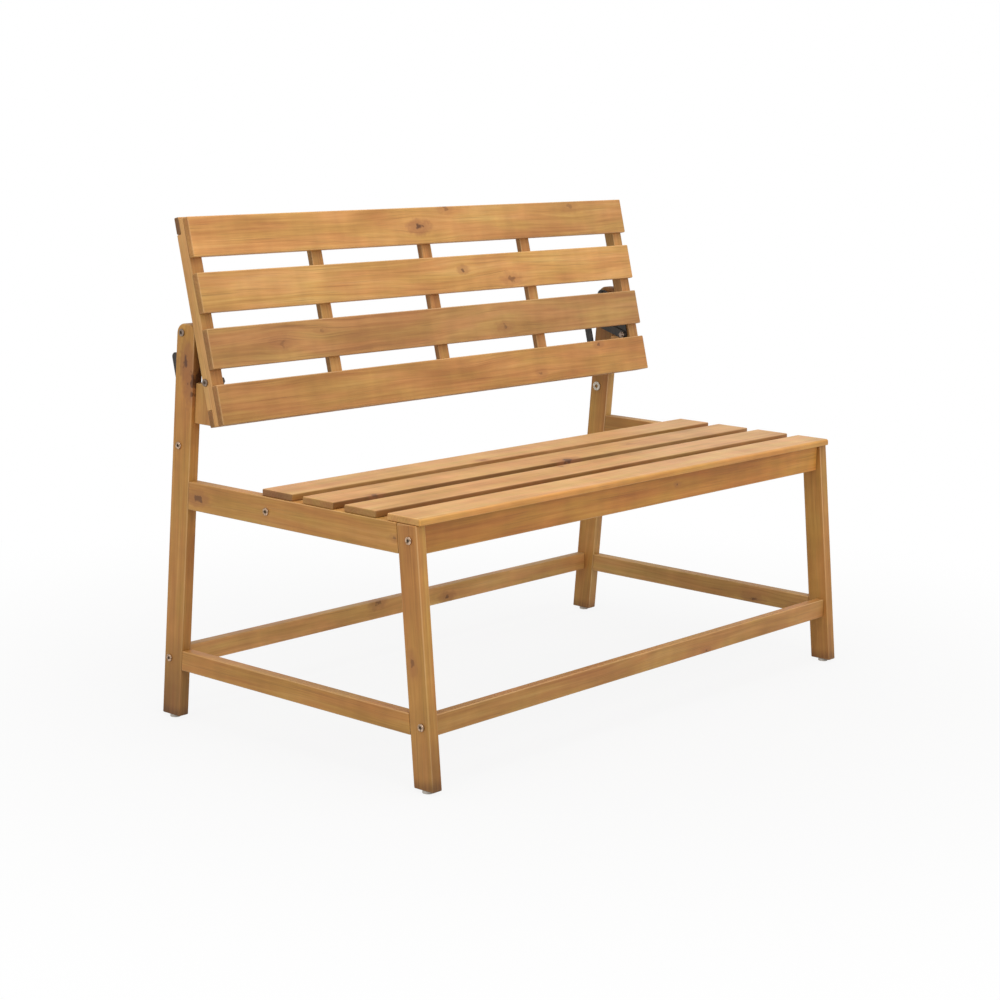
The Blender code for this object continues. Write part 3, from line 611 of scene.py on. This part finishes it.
def wedgedBoard(node, grain, frontLean, rearLean):
    # Its front and rear ends are sawn to the lean of what they meet
    low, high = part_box(node)
    centre = middleOf(low, high)
    piece = cubeAt(node + "_wood", high - low, centre)
    trim(piece, (0, low.y, low.z), (0, -math.cos(frontLean), math.sin(frontLean)))
    trim(piece, (0, high.y, low.z), (0, math.cos(rearLean), -math.sin(rearLean)))
    return piece, boardFrame(centre, high - low, 0, grain)


def finishBoard(node, piece, board, look, cutters=()):
    easeEdges(piece, **boardEdges)
    for cutter in cutters:
        cutWith(piece, cutter)
    mount(piece, node, oiledWood(node, board, look))


postTop = {"radius": 0.016, "steps": 8}
leans = {"rearPost": math.radians(-3.88), "frontLeg": math.radians(6.05), "back": math.radians(14.47)}

# Knots are (along, across, radius, strength), in millimetres from the middle of the board
postLooks = {
    "rear_post_left": {"seed": 1, "foot": 0.9, "drift": 0.09,
                       "knots": ((262, -5, 7.5, 1.0), (238, -20, 9.5, 1.0), (214, -20, 3.5, 0.9))},
    # On rear_post_right, lowSide paints a highlight on the front face, and topShade paints the slats'
    # shadow
    "rear_post_right": {"seed": 2, "tone": 0.02, "foot": 0.4,
                        "lowSide": (1.26, 1.44, 1.80), "topShade": (0.62, 0.57, 0.56)},
    "front_leg_left": {"seed": 3, "foot": 0.4, "footFront": 0.6, "knots": ((-8, 6, 4.5, 0.6),)},
    "front_leg_right": {"seed": 4, "foot": 0.3},
}


def makePosts():
    for node, look in postLooks.items():
        if node.startswith("rear"):
            made = leaningLeg(node, leans["rearPost"], postTop)
        else:
            made = leaningLeg(node, leans["frontLeg"])
        finishBoard(node, *made, look)


sideLooks = {
    "side_rail_left": {"seed": 5, "tone": -0.02, "knots": ((207, -2, 6.0, 0.8), (-226, 0, 3.0, 0.6))},
    # side_rail_right is darkened as painted shade on its shadowed inner face; highSide paints a grey
    # sheen on its top
    "side_rail_right": {"seed": 6, "shade": 0.86, "highSide": (1.15, 1.30, 1.60)},
    "side_stretcher_left": {"seed": 7, "tone": 0.02},
    "side_stretcher_right": {"seed": 8, "cast": (0.97, 1.08, 1.38), "knots": ((-130, -8, 5.5, 0.8),)},
}
crossLooks = {
    "front_apron": {"seed": 9, "tone": 0.04, "cast": (1.08, 0.98, 0.80), "drift": 0.13,
                    "knots": ((100, 4, 2.5, 0.7),)},
    "seat_rear_rail": {"seed": 10},
    "front_stretcher": {"seed": 11, "tone": -0.01, "shade": 0.92, "drift": 0.06,
                        "cast": (1.0, 1.0, 1.12), "knots": ((159, -12, 3.2, 0.7),)},
    "rear_stretcher": {"seed": 12, "tone": 0.01, "shade": 1.27,
                       "cast": (1.04, 1.17, 1.60), "highSide": (0.66, 0.66, 0.70),
                       "knots": ((-66, 11, 5.0, 0.7), (20, 2, 3.0, 0.5), (118, -7, 5.0, 0.8))},
}
barrelNuts = {"fromEnd": 0.0250, "radius": 0.0050, "length": 0.012,
              "boreRadius": 0.0053, "boreLength": 0.03, "boreSides": 32, "rim": 0.0005}


def nutBores(node):
    # Cutters for the bores of the two barrel nuts, which open at the rear face
    low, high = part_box(node)
    y = middleOf(low.y, high.y) + barrelNuts["boreLength"] / 2 - barrelNuts["length"] / 2
    for x in (low.x + barrelNuts["fromEnd"], high.x - barrelNuts["fromEnd"]):
        bpy.ops.mesh.primitive_cylinder_add(
            vertices=barrelNuts["boreSides"], radius=barrelNuts["boreRadius"],
            depth=barrelNuts["boreLength"], location=(x, y, middleOf(low.z, high.z)),
            rotation=(math.pi / 2, 0, 0))
        yield bpy.context.object


def makeRails():
    for node, look in sideLooks.items():
        finishBoard(node, *wedgedBoard(node, "YZ", leans["frontLeg"], leans["rearPost"]), look)
    for node, look in crossLooks.items():
        finishBoard(node, *plainBoard(node, "XZ"), look, nutBores(node))


# Painted shade: in the gaps the slats' sides are darkened, mostly towards the left
seatLooks = {
    "seat_slat_1": {"seed": 13, "endShade": (0.46, 0.37, 0.28), "knots": ((-92, -25, 4.0, 0.7),),
                    "lowSide": (0.60, 0.50, 0.33), "highSide": (0.60, 0.50, 0.33), "sideDrift": 0.10},
    "seat_slat_2": {"seed": 14, "tone": 0.03, "endShade": (0.64, 0.57, 0.38),
                    "lowSide": (0.38, 0.29, 0.15), "highSide": (0.56, 0.46, 0.31), "sideDrift": 0.55,
                    "knots": ((14, -28, 7.0, 1.0), (-452, -30, 4.5, 0.8), (224, 2, 4.0, 0.5))},
    "seat_slat_3": {"seed": 15, "tone": 0.02, "endShade": (0.64, 0.57, 0.38),
                    "lowSide": (0.48, 0.38, 0.24), "highSide": (0.56, 0.46, 0.31), "sideDrift": 0.50,
                    "knots": ((-44, 26, 4.5, 0.6),)},
    # On seat_slat_4, lowSide paints a golden highlight on the rounded front edge
    "seat_slat_4": {"seed": 16, "tone": -0.02, "endShade": (1.12, 1.05, 0.86),
                    "lowSide": (1.07, 0.89, 0.52), "sideReach": 6.0},
}
bearerLooks = {"seat_bearer_left": {"seed": 17}, "seat_bearer_middle": {"seed": 18},
               "seat_bearer_right": {"seed": 19}}
seatFront = {"radius": 0.0045, "steps": 6}


def makeSeat():
    for looks, grain in ((seatLooks, "XY"), (bearerLooks, "YX")):
        for node, look in looks.items():
            piece, board = plainBoard(node, grain)
            if node == "seat_slat_4":
                # The seat's front edge has a larger round under the knees
                low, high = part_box(node)
                pickEdges(piece, lambda a, b: min(a.z, b.z) > high.z - faceReach
                          and max(a.y, b.y) < low.y + faceReach)
                bevelPicked(**seatFront)
            finishBoard(node, piece, board, look)


backLooks = {
    "back_slat_1": {"seed": 20, "drift": -0.07,
                    "knots": ((-30, -2, 6.5, 1.0), (392, 23, 6.0, 0.4), (47, 27, 4.5, 0.5))},
    "back_slat_2": {"seed": 21, "tone": -0.03, "drift": 0.08,
                    "knots": ((66, 7, 3.6, 0.8), (192, -16, 6.0, 0.6))},
    "back_slat_3": {"seed": 22, "tone": 0.09, "shade": 0.90, "cast": (0.97, 1.02, 1.14),
                    "knots": ((-397, -1, 6.5, 0.4), (-304, 13, 3.4, 0.4), (152, -13, 5.0, 0.6))},
    "back_slat_4": {"seed": 23, "tone": 0.06, "shade": 0.93, "drift": 0.11,
                    "knots": ((231, -16, 3.6, 0.5), (409, 25, 3.6, 0.7))},
    "back_top_rail": {"wood": "frame_wood", "seed": 24, "endShade": (0.36, 0.34, 0.36)},
    "back_bottom_rail": {"wood": "frame_wood", "seed": 25, "endShade": (0.50, 0.44, 0.40)},
}
battenSide = (0.58, 0.58, 0.50)     # the left sides of the battens are in the slats' shadow
battenLooks = {
    # On back_batten_left, lowFace paints shade on the front face under the slats
    "back_batten_left": {"seed": 26, "cast": (1.06, 1.12, 1.18), "lowFace": (0.74, 0.66, 0.54),
                         "knots": ((70, 9, 3.0, 0.7), (46, 7, 3.0, 0.6))},
    "back_batten_middle_1": {"seed": 27, "tone": 0.05, "lowSide": battenSide},
    "back_batten_middle_2": {"seed": 28, "tone": 0.06, "lowSide": battenSide},
    "back_batten_middle_3": {"seed": 29, "tone": 0.05, "lowSide": battenSide},
    "back_batten_right": {"seed": 30, "tone": 0.02, "lowSide": battenSide},
}
blockLooks = {"stop_block_left": {"seed": 31}, "stop_block_right": {"seed": 32}}
railNotches = {"gap": 0.0003, "over": 0.01}     # over is how far a cutter reaches past the wood
backCosine, backSine = math.cos(leans["back"]), math.sin(leans["back"])


def spotOnBack(x, up, behind):
    # From heights up the leaning back and depths behind it to a place in the frame
    return Vector((x, up * backSine + behind * backCosine, up * backCosine - behind * backSine))


def backReach(node):
    # How far a leaning board reaches up the back and behind it: low, high, front, rear
    low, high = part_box(node)
    size = leaningSize(high - low, leans["back"])
    middle = middleOf(low, high)
    up = middle.y * backSine + middle.z * backCosine
    behind = middle.y * backCosine - middle.z * backSine
    return up - size[2] / 2, up + size[2] / 2, behind - size[1] / 2, behind + size[1] / 2


def boardOnBack(name, left, right, reach):
    low, high, front, rear = reach
    size = (right - left, rear - front, high - low)
    centre = spotOnBack(middleOf(left, right), middleOf(low, high), middleOf(front, rear))
    return cubeAt(name, size, centre, leans["back"]), centre, size


def endBatten(node):
    # As tall as the middle battens and as deep as the rails, which lie in its two notches
    low, high, front, rear = backReach("back_batten_middle_1")
    topRail = backReach("back_top_rail")
    bottomRail = backReach("back_bottom_rail")
    left, right = [corner.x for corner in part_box(node)]
    piece, centre, size = boardOnBack(node + "_wood", left, right, (low, high, front, topRail[3]))
    gap = railNotches["gap"]
    over = railNotches["over"]
    for notchLow, notchHigh in ((topRail[0] - gap, high + over), (low - over, bottomRail[1] + gap)):
        cutter = boardOnBack("notch", left - over, right + over,
                             (notchLow, notchHigh, topRail[2] - gap, topRail[3] + over))[0]
        cutWith(piece, cutter)
    return piece, boardFrame(centre, size, leans["back"], "ZX")


def makeBack():
    for node, look in {**backLooks, **battenLooks, **blockLooks}.items():
        if node in blockLooks:
            made = wedgedBoard(node, "ZY", leans["back"], leans["rearPost"])
        elif node in ("back_batten_left", "back_batten_right"):
            made = endBatten(node)
        else:
            made = plainBoard(node, "ZX" if node in battenLooks else "XZ", leans["back"])
        finishBoard(node, *made, look)


makePosts()
makeRails()
makeSeat()
makeBack()
print("boards made")


# Steel, zinc and plastic

# Tones run from the first to the last, and noise is in cells per metre
lacquerTones = ((0.019, 0.015, 0.012), (0.040, 0.031, 0.024))
scuffTone = (0.095, 0.076, 0.060)
zincTones = {
    # head is browner, partly the plating's own warm tone, partly a painted reflection of the wood
    "head": ((0.62, 0.440, 0.315), (0.27, 0.172, 0.100)),
    "nut": ((0.54, 0.48, 0.40), (0.36, 0.31, 0.24)),
    # inShade: painted shade on the heads and nuts that sit back in shadow
    "inShade": ((0.30, 0.225, 0.175), (0.18, 0.13, 0.095)),
}
# Painted shade inside the sockets
socketShadeTones = ((0.085, 0.056, 0.036), (0.180, 0.122, 0.078))
nylonTones = ((0.62, 0.58, 0.52), (0.50, 0.46, 0.40))
dirtTone = (0.26, 0.21, 0.16)


def blackSteel(name):
    # Satin black lacquer, greyer on its dust and scuffs
    finish = Finish(name)
    spot = finish.spot()
    cloudy = finish.noise(spot, 90, detail=3.0)
    grain = finish.noise(spot, 900)
    scuffs = finish.noise(spot, 260, 60, 4.0, 0.7).rise(0.6, 0.72)
    colour = finish.blend(cloudy.rise(0.35, 0.7), *lacquerTones)
    colour = finish.blend(scuffs * 0.5, colour, scuffTone)
    finish.shine(BaseColor=colour, Roughness=cloudy * 0.2 + 0.34 + scuffs * 0.1,
                 Metallic=0.25, SpecularIORLevel=0.5)
    finish.bump(grain * 0.6 + scuffs * 0.5, 0.2, 0.0002)
    return finish


def zincPlate(name, tones="nut"):
    # Zinc plate, cloudy; browner on the heads, partly the plating's own tone, partly a painted reflection
    # of the wood
    finish = Finish(name)
    spot = finish.spot()
    cloudy = finish.noise(spot, 300, detail=3.0)
    fine = finish.noise(spot, 2600)
    colour = finish.blend(cloudy.rise(0.36, 0.62), *zincTones[tones])
    finish.shine(BaseColor=colour, Roughness=cloudy * 0.25 + 0.20, Metallic=0.9)
    finish.bump(fine, 0.15, 0.0001)
    return finish


def shadedSocketSteel(name):
    # Painted shade inside a socket, mottled
    finish = Finish(name)
    socketSpeckle = finish.noise(finish.spot(), 1500, detail=3.0)
    finish.shine(BaseColor=finish.blend(socketSpeckle, *socketShadeTones), Roughness=socketSpeckle * 0.3 + 0.5, Metallic=0.4)
    return finish


def greyPlastic(name):
    # Milky nylon with a fine moulded grain
    finish = Finish(name)
    spot = finish.spot()
    cloudy = finish.noise(spot, 120)
    grain = finish.noise(spot, 1800)
    dirt = finish.noise(spot, 380, detail=4.0).rise(0.52, 0.72)
    colour = finish.blend(cloudy, *nylonTones)
    colour = finish.blend(dirt * 0.5, colour, dirtTone)
    finish.shine(BaseColor=colour, Roughness=grain * 0.2 + 0.38)
    finish.bump(grain, 0.15, 0.0002)
    return finish


# Fasteners, modelled with the head's seat at the origin and the head upwards

fastenerSizes = {
    "headRadius": 0.006, "headHeight": 0.0022, "headChamfer": 0.0007,
    "socketRadius": 0.0029, "socketDepth": 0.0016,
    "boltRadius": 0.003, "pivotRadius": 0.004, "sleeveRadius": 0.0045, "boltInNut": 0.0035,
    "nutRadius": 0.0065, "nutHeight": 0.0055, "nutHexHeight": 0.0026, "nutInset": 0.0008,
    "nutChamfer": 0.0004, "domeRadius": 0.0050, "domeSink": 0.0002, "domeSides": 32,
    "collarRadius": 0.008, "collarLength": 0.0037, "collarRim": 0.0004,
    "flangeRadius": 0.0088, "flangeHeight": 0.0016, "flangeRim": 0.0006, "flangeGap": 0.0001,
    "boreRadius": 0.0034, "boreDepth": 0.004, "flangeBore": 0.003, "over": 0.001,
    "barrelSlotWidth": 0.0012, "barrelSlotDepth": 0.0013, "barrelSlotLength": 0.02,
    "boltPastBarrel": 0.008, "sides": 48,
    "pivotStack": 0.0036,           # the plate and its play, between the nut and the collar
}


def rod(name, radius, low, high, sides=None):
    pickNone()
    bpy.ops.mesh.primitive_cylinder_add(vertices=sides or fastenerSizes["sides"], radius=radius,
                                        depth=high - low, location=(0, 0, middleOf(low, high)))
    piece = bpy.context.object
    piece.name = name
    applyPlace(piece)
    return piece


def bevelRim(piece, height, radius, offset, steps=3):
    # Rounds the circle of edges at that height and radius
    def onRim(a, b):
        return all(abs(p.z - height) < rimReach and abs(p.xy.length - radius) < rimReach for p in (a, b))
    pickEdges(piece, onRim)
    bevelPicked(offset, steps)


def joinAll(pieces):
    pickNone()
    for piece in pieces:
        piece.select_set(True)
    bpy.context.view_layer.objects.active = pieces[0]
    bpy.ops.object.join()
    return pieces[0]


def boltHead(name, shankRadius, length):
    # A flat round head with a hexagon socket, and its shank below
    sizes = fastenerSizes
    top = sizes["headHeight"]
    piece = rod(name, sizes["headRadius"], 0, top)
    pickFlat(piece, -1)
    bpy.ops.mesh.inset(thickness=sizes["headRadius"] - shankRadius)
    bpy.ops.mesh.extrude_region_move(TRANSFORM_OT_translate={"value": (0, 0, -length)})
    editDone()
    bevelRim(piece, top, sizes["headRadius"], sizes["headChamfer"])
    depth = sizes["socketDepth"]
    cutWith(piece, rod("socket", sizes["socketRadius"], top - depth, top + depth, sides=6))
    return piece


def markFinishes(piece):
    # The socket has the second finish, and all below the head's seat the third
    sizes = fastenerSizes
    top = sizes["headHeight"]
    floor = top - sizes["socketDepth"]
    for face in piece.data.polygons:
        height = face.center.z
        inSocket = floor - rimReach < height < top - rimReach
        if inSocket and face.center.xy.length < sizes["socketRadius"]:
            face.material_index = 1
        elif height < -rimReach:
            face.material_index = 2


def domedNut(seat):
    # A hexagon with its corners turned off, and a dome on it
    sizes = fastenerSizes
    nut = rod("domedNut", sizes["nutRadius"], seat - sizes["nutHexHeight"], seat, sides=6)
    pickFlat(nut, -1)
    bpy.ops.mesh.inset(thickness=sizes["nutInset"])
    bpy.ops.transform.translate(value=(0, 0, -sizes["nutChamfer"]))
    editDone()
    tall = sizes["nutHeight"] - sizes["nutHexHeight"]
    pickNone()
    bpy.ops.mesh.primitive_uv_sphere_add(
        segments=sizes["domeSides"], ring_count=sizes["domeSides"] // 2, radius=sizes["domeRadius"],
        location=(0, 0, seat - sizes["nutHexHeight"]), scale=(1, 1, tall / sizes["domeRadius"]))
    dome = bpy.context.object
    applyPlace(dome)
    trim(dome, (0, 0, seat - sizes["nutHexHeight"] + sizes["domeSink"]), (0, 0, 1))
    return joinAll([nut, dome])


def frameBolt(length):
    # Bolt and barrel nut, whose slot faces the rear
    sizes = fastenerSizes
    bolt = boltHead("frameBolt", sizes["boltRadius"], length)
    nutHeight = -length + sizes["boltPastBarrel"]
    half = barrelNuts["length"] / 2
    barrel = rod("barrelNut", barrelNuts["radius"], -half, half)
    for end in (-half, half):
        bevelRim(barrel, end, barrelNuts["radius"], barrelNuts["rim"], steps=2)
    cutWith(barrel, cubeAt("slot", (sizes["barrelSlotLength"], sizes["barrelSlotWidth"],
                                    sizes["barrelSlotDepth"] * 2), (0, 0, half)))
    barrel.rotation_euler = (-math.pi / 2, 0, 0)
    barrel.location = (0, 0, nutHeight)
    applyPlace(barrel)
    return joinAll([bolt, barrel])


def sleeveBolt(length):
    # A bolt screwed into a sleeve, whose flange has an open bore
    sizes = fastenerSizes
    bolt = boltHead("sleeveBolt", sizes["sleeveRadius"],
                    length - sizes["flangeHeight"] - sizes["flangeGap"])
    flange = rod("flange", sizes["flangeRadius"], -length, -length + sizes["flangeHeight"])
    bevelRim(flange, -length, sizes["flangeRadius"], sizes["flangeRim"])
    for metal, depth in ((flange, sizes["flangeBore"]), (bolt, sizes["boreDepth"])):
        cutWith(metal, rod("bore", sizes["boreRadius"], -length - sizes["over"], -length + depth))
    return joinAll([bolt, flange])


def nuttedBolt(length):
    seat = -length + fastenerSizes["nutHeight"]
    length -= fastenerSizes["boltInNut"]
    return joinAll([boltHead("nuttedBolt", fastenerSizes["boltRadius"], length), domedNut(seat)])


def pivotBolt(length):
    # The back turns on it. A collar keeps the plate off the post.
    sizes = fastenerSizes
    seat = -length + sizes["nutHeight"]
    bolt = boltHead("pivotBolt", sizes["pivotRadius"], length - sizes["boltInNut"])
    low = seat + sizes["pivotStack"]
    high = low + sizes["collarLength"]
    collar = rod("collar", sizes["collarRadius"], low, high)
    for end in (low, high):
        bevelRim(collar, end, sizes["collarRadius"], sizes["collarRim"], steps=2)
    return joinAll([bolt, collar, domedNut(seat)])


def stayScrew(length):
    return boltHead("stayScrew", fastenerSizes["boltRadius"], length)


fastenerKinds = (
    ("front_apron_bolt seat_rear_rail_bolt front_stretcher_bolt rear_stretcher_bolt",
     frameBolt, "head"),
    ("sleeve_bolt", sleeveBolt, "head"),
    ("stay_bolt", nuttedBolt, "inShade"),
    ("pivot_bolt", pivotBolt, "inShade"),
    ("stay_screw", stayScrew, "inShade"),
    ("plate_bolt", stayScrew, "inShade"),
)
facingInwards = ("stay_screw", "plate_bolt")


def copyPiece(piece, name):
    twin = piece.copy()
    twin.data = piece.data.copy()
    twin.name = name
    bpy.context.collection.objects.link(twin)
    return twin


def setFastener(pattern, node, finishes, headOut):
    # Turns a copy towards its side. Stay screws and plate bolts have their heads inwards.
    low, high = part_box(node)
    centre = middleOf(low, high)
    facing = 1 if (centre.x > 0) == headOut else -1
    head = high.x if facing > 0 else low.x
    piece = copyPiece(pattern, node + "_steel")
    piece.rotation_euler = (0, facing * math.pi / 2, 0)
    piece.location = (head - facing * fastenerSizes["headHeight"], centre.y, centre.z)
    applyPlace(piece)
    mount(piece, node, *finishes)


def makeFasteners():
    socketShade = shadedSocketSteel("socket_shade")
    nuts = zincPlate("nut_zinc")
    lacquer = blackSteel("pivot_lacquer")
    for words, model, tones in fastenerKinds:
        names = words.split()
        low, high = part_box(names[0] + "_left")
        pattern = model(high.x - low.x - fastenerSizes["headHeight"])
        markFinishes(pattern)
        heads = zincPlate(names[0] + "_zinc", tones)
        below = {"pivot_bolt": lacquer, "stay_bolt": heads}.get(names[0], nuts)
        for name in names:
            for side in ("left", "right"):
                setFastener(pattern, name + "_" + side, (heads, socketShade, below), name not in facingInwards)
        bpy.data.objects.remove(pattern, do_unlink=True)


# Hinge plates and folding stays

steelStrip = {
    "thickness": 0.003, "rim": 0.0004, "stayRadius": 0.0075, "sides": 72, "flatDegrees": 1,
    "plateRadii": {"stay_bolt": 0.008, "pivot_bolt": 0.009, "plate_bolt": 0.008},
    "rivetHeight": 0.0018, "rivetRadius": 0.0055, "rivetTopRadius": 0.0038,
    "pinRadius": 0.005, "pinSink": 0.001,   # sunk into its rivet
}


def stripOf(name, discs, nearX, farX):
    # Discs drawn together into one flat strip. A disc is (y, z, radius).
    parts = []
    for y, z, radius in discs:
        pickNone()
        bpy.ops.mesh.primitive_cylinder_add(
            vertices=steelStrip["sides"], radius=radius, depth=abs(farX - nearX),
            location=(middleOf(nearX, farX), y, z), rotation=(0, math.pi / 2, 0))
        parts.append(bpy.context.object)
    piece = joinAll(parts)
    piece.name = name
    applyPlace(piece)
    editAll(piece)
    bpy.ops.mesh.convex_hull()
    bpy.ops.mesh.select_all(action="SELECT")
    bpy.ops.mesh.dissolve_limited(angle_limit=math.radians(steelStrip["flatDegrees"]))
    editDone()
    easeEdges(piece, steelStrip["rim"], 2)
    return piece


def axisOf(node):
    low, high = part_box(node)
    return middleOf(low.y, high.y), middleOf(low.z, high.z)


def flatStrip(node, discs, finish):
    low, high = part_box(node)
    mount(stripOf(node + "_steel", discs, low.x, high.x), node, finish)


def makeSteel():
    plateFinish = blackSteel("hinge_plate_lacquer")
    stayFinish = blackSteel("stay_lacquer")
    for side, outward in (("left", -1), ("right", 1)):
        flatStrip("hinge_plate_" + side, [(*axisOf(bolt + "_" + side), radius) for bolt, radius in
                                          steelStrip["plateRadii"].items()], plateFinish)

        radius = steelStrip["stayRadius"]
        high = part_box("stay_lower_" + side)[1]
        foot = axisOf("stay_screw_" + side)
        knee = (high.y - radius, high.z - radius)
        flatStrip("stay_lower_" + side, ((*foot, radius), (*knee, radius)), stayFinish)

        innerEnd, outerEnd = sorted(abs(corner.x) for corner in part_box("stay_upper_" + side))
        inner = innerEnd + steelStrip["rivetHeight"]
        outer = inner + steelStrip["thickness"]
        bolt = axisOf("stay_bolt_" + side)
        upper = stripOf("stay_upper_%s_steel" % side, ((*bolt, radius), (*knee, radius)),
                        outward * inner, outward * outer)
        rivet = rod("rivet", steelStrip["rivetRadius"], 0, steelStrip["rivetHeight"])
        pickFlat(rivet, 1)
        share = steelStrip["rivetTopRadius"] / steelStrip["rivetRadius"]
        bpy.ops.transform.resize(value=(share, share, 1))
        editDone()
        pin = rod("pin", steelStrip["pinRadius"], inner - outerEnd, steelStrip["pinSink"])
        knuckle = joinAll([rivet, pin])
        knuckle.rotation_euler = (0, -outward * math.pi / 2, 0)
        knuckle.location = (outward * inner, *knee)
        applyPlace(knuckle)
        mount(joinAll([upper, knuckle]), "stay_upper_" + side, stayFinish)


# Feet

glideShape = {"flare": 0.94, "rim": 0.0012, "recessRadius": 0.0048, "recessDepth": 0.0018}


def makeGlides():
    finish = greyPlastic("glide_nylon")
    for node in [name for name in bodyOf if name.startswith("foot_glide")]:
        low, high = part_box(node)
        radius = (high.x - low.x) / 2
        piece = rod(node + "_nylon", radius, 0, high.z - low.z)
        pickFlat(piece, 1)
        bpy.ops.transform.resize(value=(glideShape["flare"], glideShape["flare"], 1))
        editDone()
        bevelRim(piece, 0, radius, glideShape["rim"])
        pickFlat(piece, -1)
        bpy.ops.mesh.inset(thickness=radius - glideShape["rim"] - glideShape["recessRadius"])
        bpy.ops.mesh.extrude_region_move(
            TRANSFORM_OT_translate={"value": (0, 0, glideShape["recessDepth"])})
        editDone()
        piece.location = (middleOf(low.x, high.x), middleOf(low.y, high.y), low.z)
        applyPlace(piece)
        mount(piece, node, finish)


# Wood screws, which show behind the back and under the seat

screwShape = {"radius": 0.0036, "height": 0.0011, "proud": 0.0002, "crossWidth": 0.0009,
              "crossReach": 0.0042, "crossDepth": 0.0008, "sides": 28, "rim": 0.0003,
              "twist": 1.1, "pairPitch": 0.016, "pairSlant": 0.3, "bearerMargin": 0.01}


def screwHead():
    # A countersunk head with a cross recess, which stands a little proud of the origin
    sizes = screwShape
    head = rod("screw", sizes["radius"], -sizes["height"], sizes["proud"], sides=sizes["sides"])
    bevelRim(head, sizes["proud"], sizes["radius"], sizes["rim"], steps=2)
    for turn in (0, math.pi / 2):
        arm = cubeAt("arm", (sizes["crossReach"], sizes["crossWidth"], sizes["crossDepth"] * 2),
                     (0, 0, sizes["proud"]))
        arm.rotation_euler = (0, 0, turn)
        applyPlace(arm)
        cutWith(head, arm)
    return head


def setScrews(name, pattern, spots, facing, body, finish):
    # A row of screws is one piece. Their heads look along facing.
    heads = []
    turn = Vector(facing).to_track_quat("Z", "Y")
    for number, spot in enumerate(spots):
        head = copyPiece(pattern, name)
        twist = Matrix.Rotation(number * screwShape["twist"], 4, "Z")
        head.matrix_world = Matrix.Translation(spot) @ turn.to_matrix().to_4x4() @ twist
        applyPlace(head)
        heads.append(head)
    piece = joinAll(heads)
    smooth(piece)
    piece.data.materials.append(finish.material)
    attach(piece, body)


def middleAcross(node):
    low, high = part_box(node)
    return middleOf(low.x, high.x)


def makeScrews():
    pattern = screwHead()
    finish = zincPlate("screw_zinc")
    rearward = (0, backCosine, -backSine)
    slatHeights = [middleOf(*backReach(slat)[:2]) for slat in ("back_slat_2", "back_slat_3")]
    pitch = screwShape["pairPitch"]
    margin = screwShape["bearerMargin"]
    for node in battenLooks:
        # The end battens are as deep as the rails, and have one pair of screws each
        isMiddle = "middle" in node
        middle = middleAcross(node)
        rear = backReach(node if isMiddle else "back_top_rail")[3]
        spots = [spotOnBack(middle + side * pitch * screwShape["pairSlant"], height + side * pitch, rear)
                 for height in slatHeights[:2 if isMiddle else 1] for side in (-1, 1)]
        setScrews(node + "_screws", pattern, spots, rearward, "back_panel", finish)
    for rail in ("back_top_rail", "back_bottom_rail"):
        reach = backReach(rail)
        spots = [spotOnBack(middleAcross(node), middleOf(*reach[:2]), reach[3]) for node in battenLooks]
        setScrews(rail + "_screws", pattern, spots, rearward, "back_panel", finish)
    for node in bearerLooks:
        low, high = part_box(node)
        spots = []
        for slat in seatLooks:
            slatLow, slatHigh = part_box(slat)
            across = middleOf(slatLow.y, slatHigh.y)
            if low.y + margin < across < high.y - margin:
                spots.append(Vector((middleAcross(node), across, low.z)))
        setScrews(node + "_screws", pattern, spots, (0, 0, -1), "frame", finish)
    bpy.data.objects.remove(pattern, do_unlink=True)


makeFasteners()
makeSteel()
makeGlides()
makeScrews()
print("fasteners, hinge plates, stays and feet made")
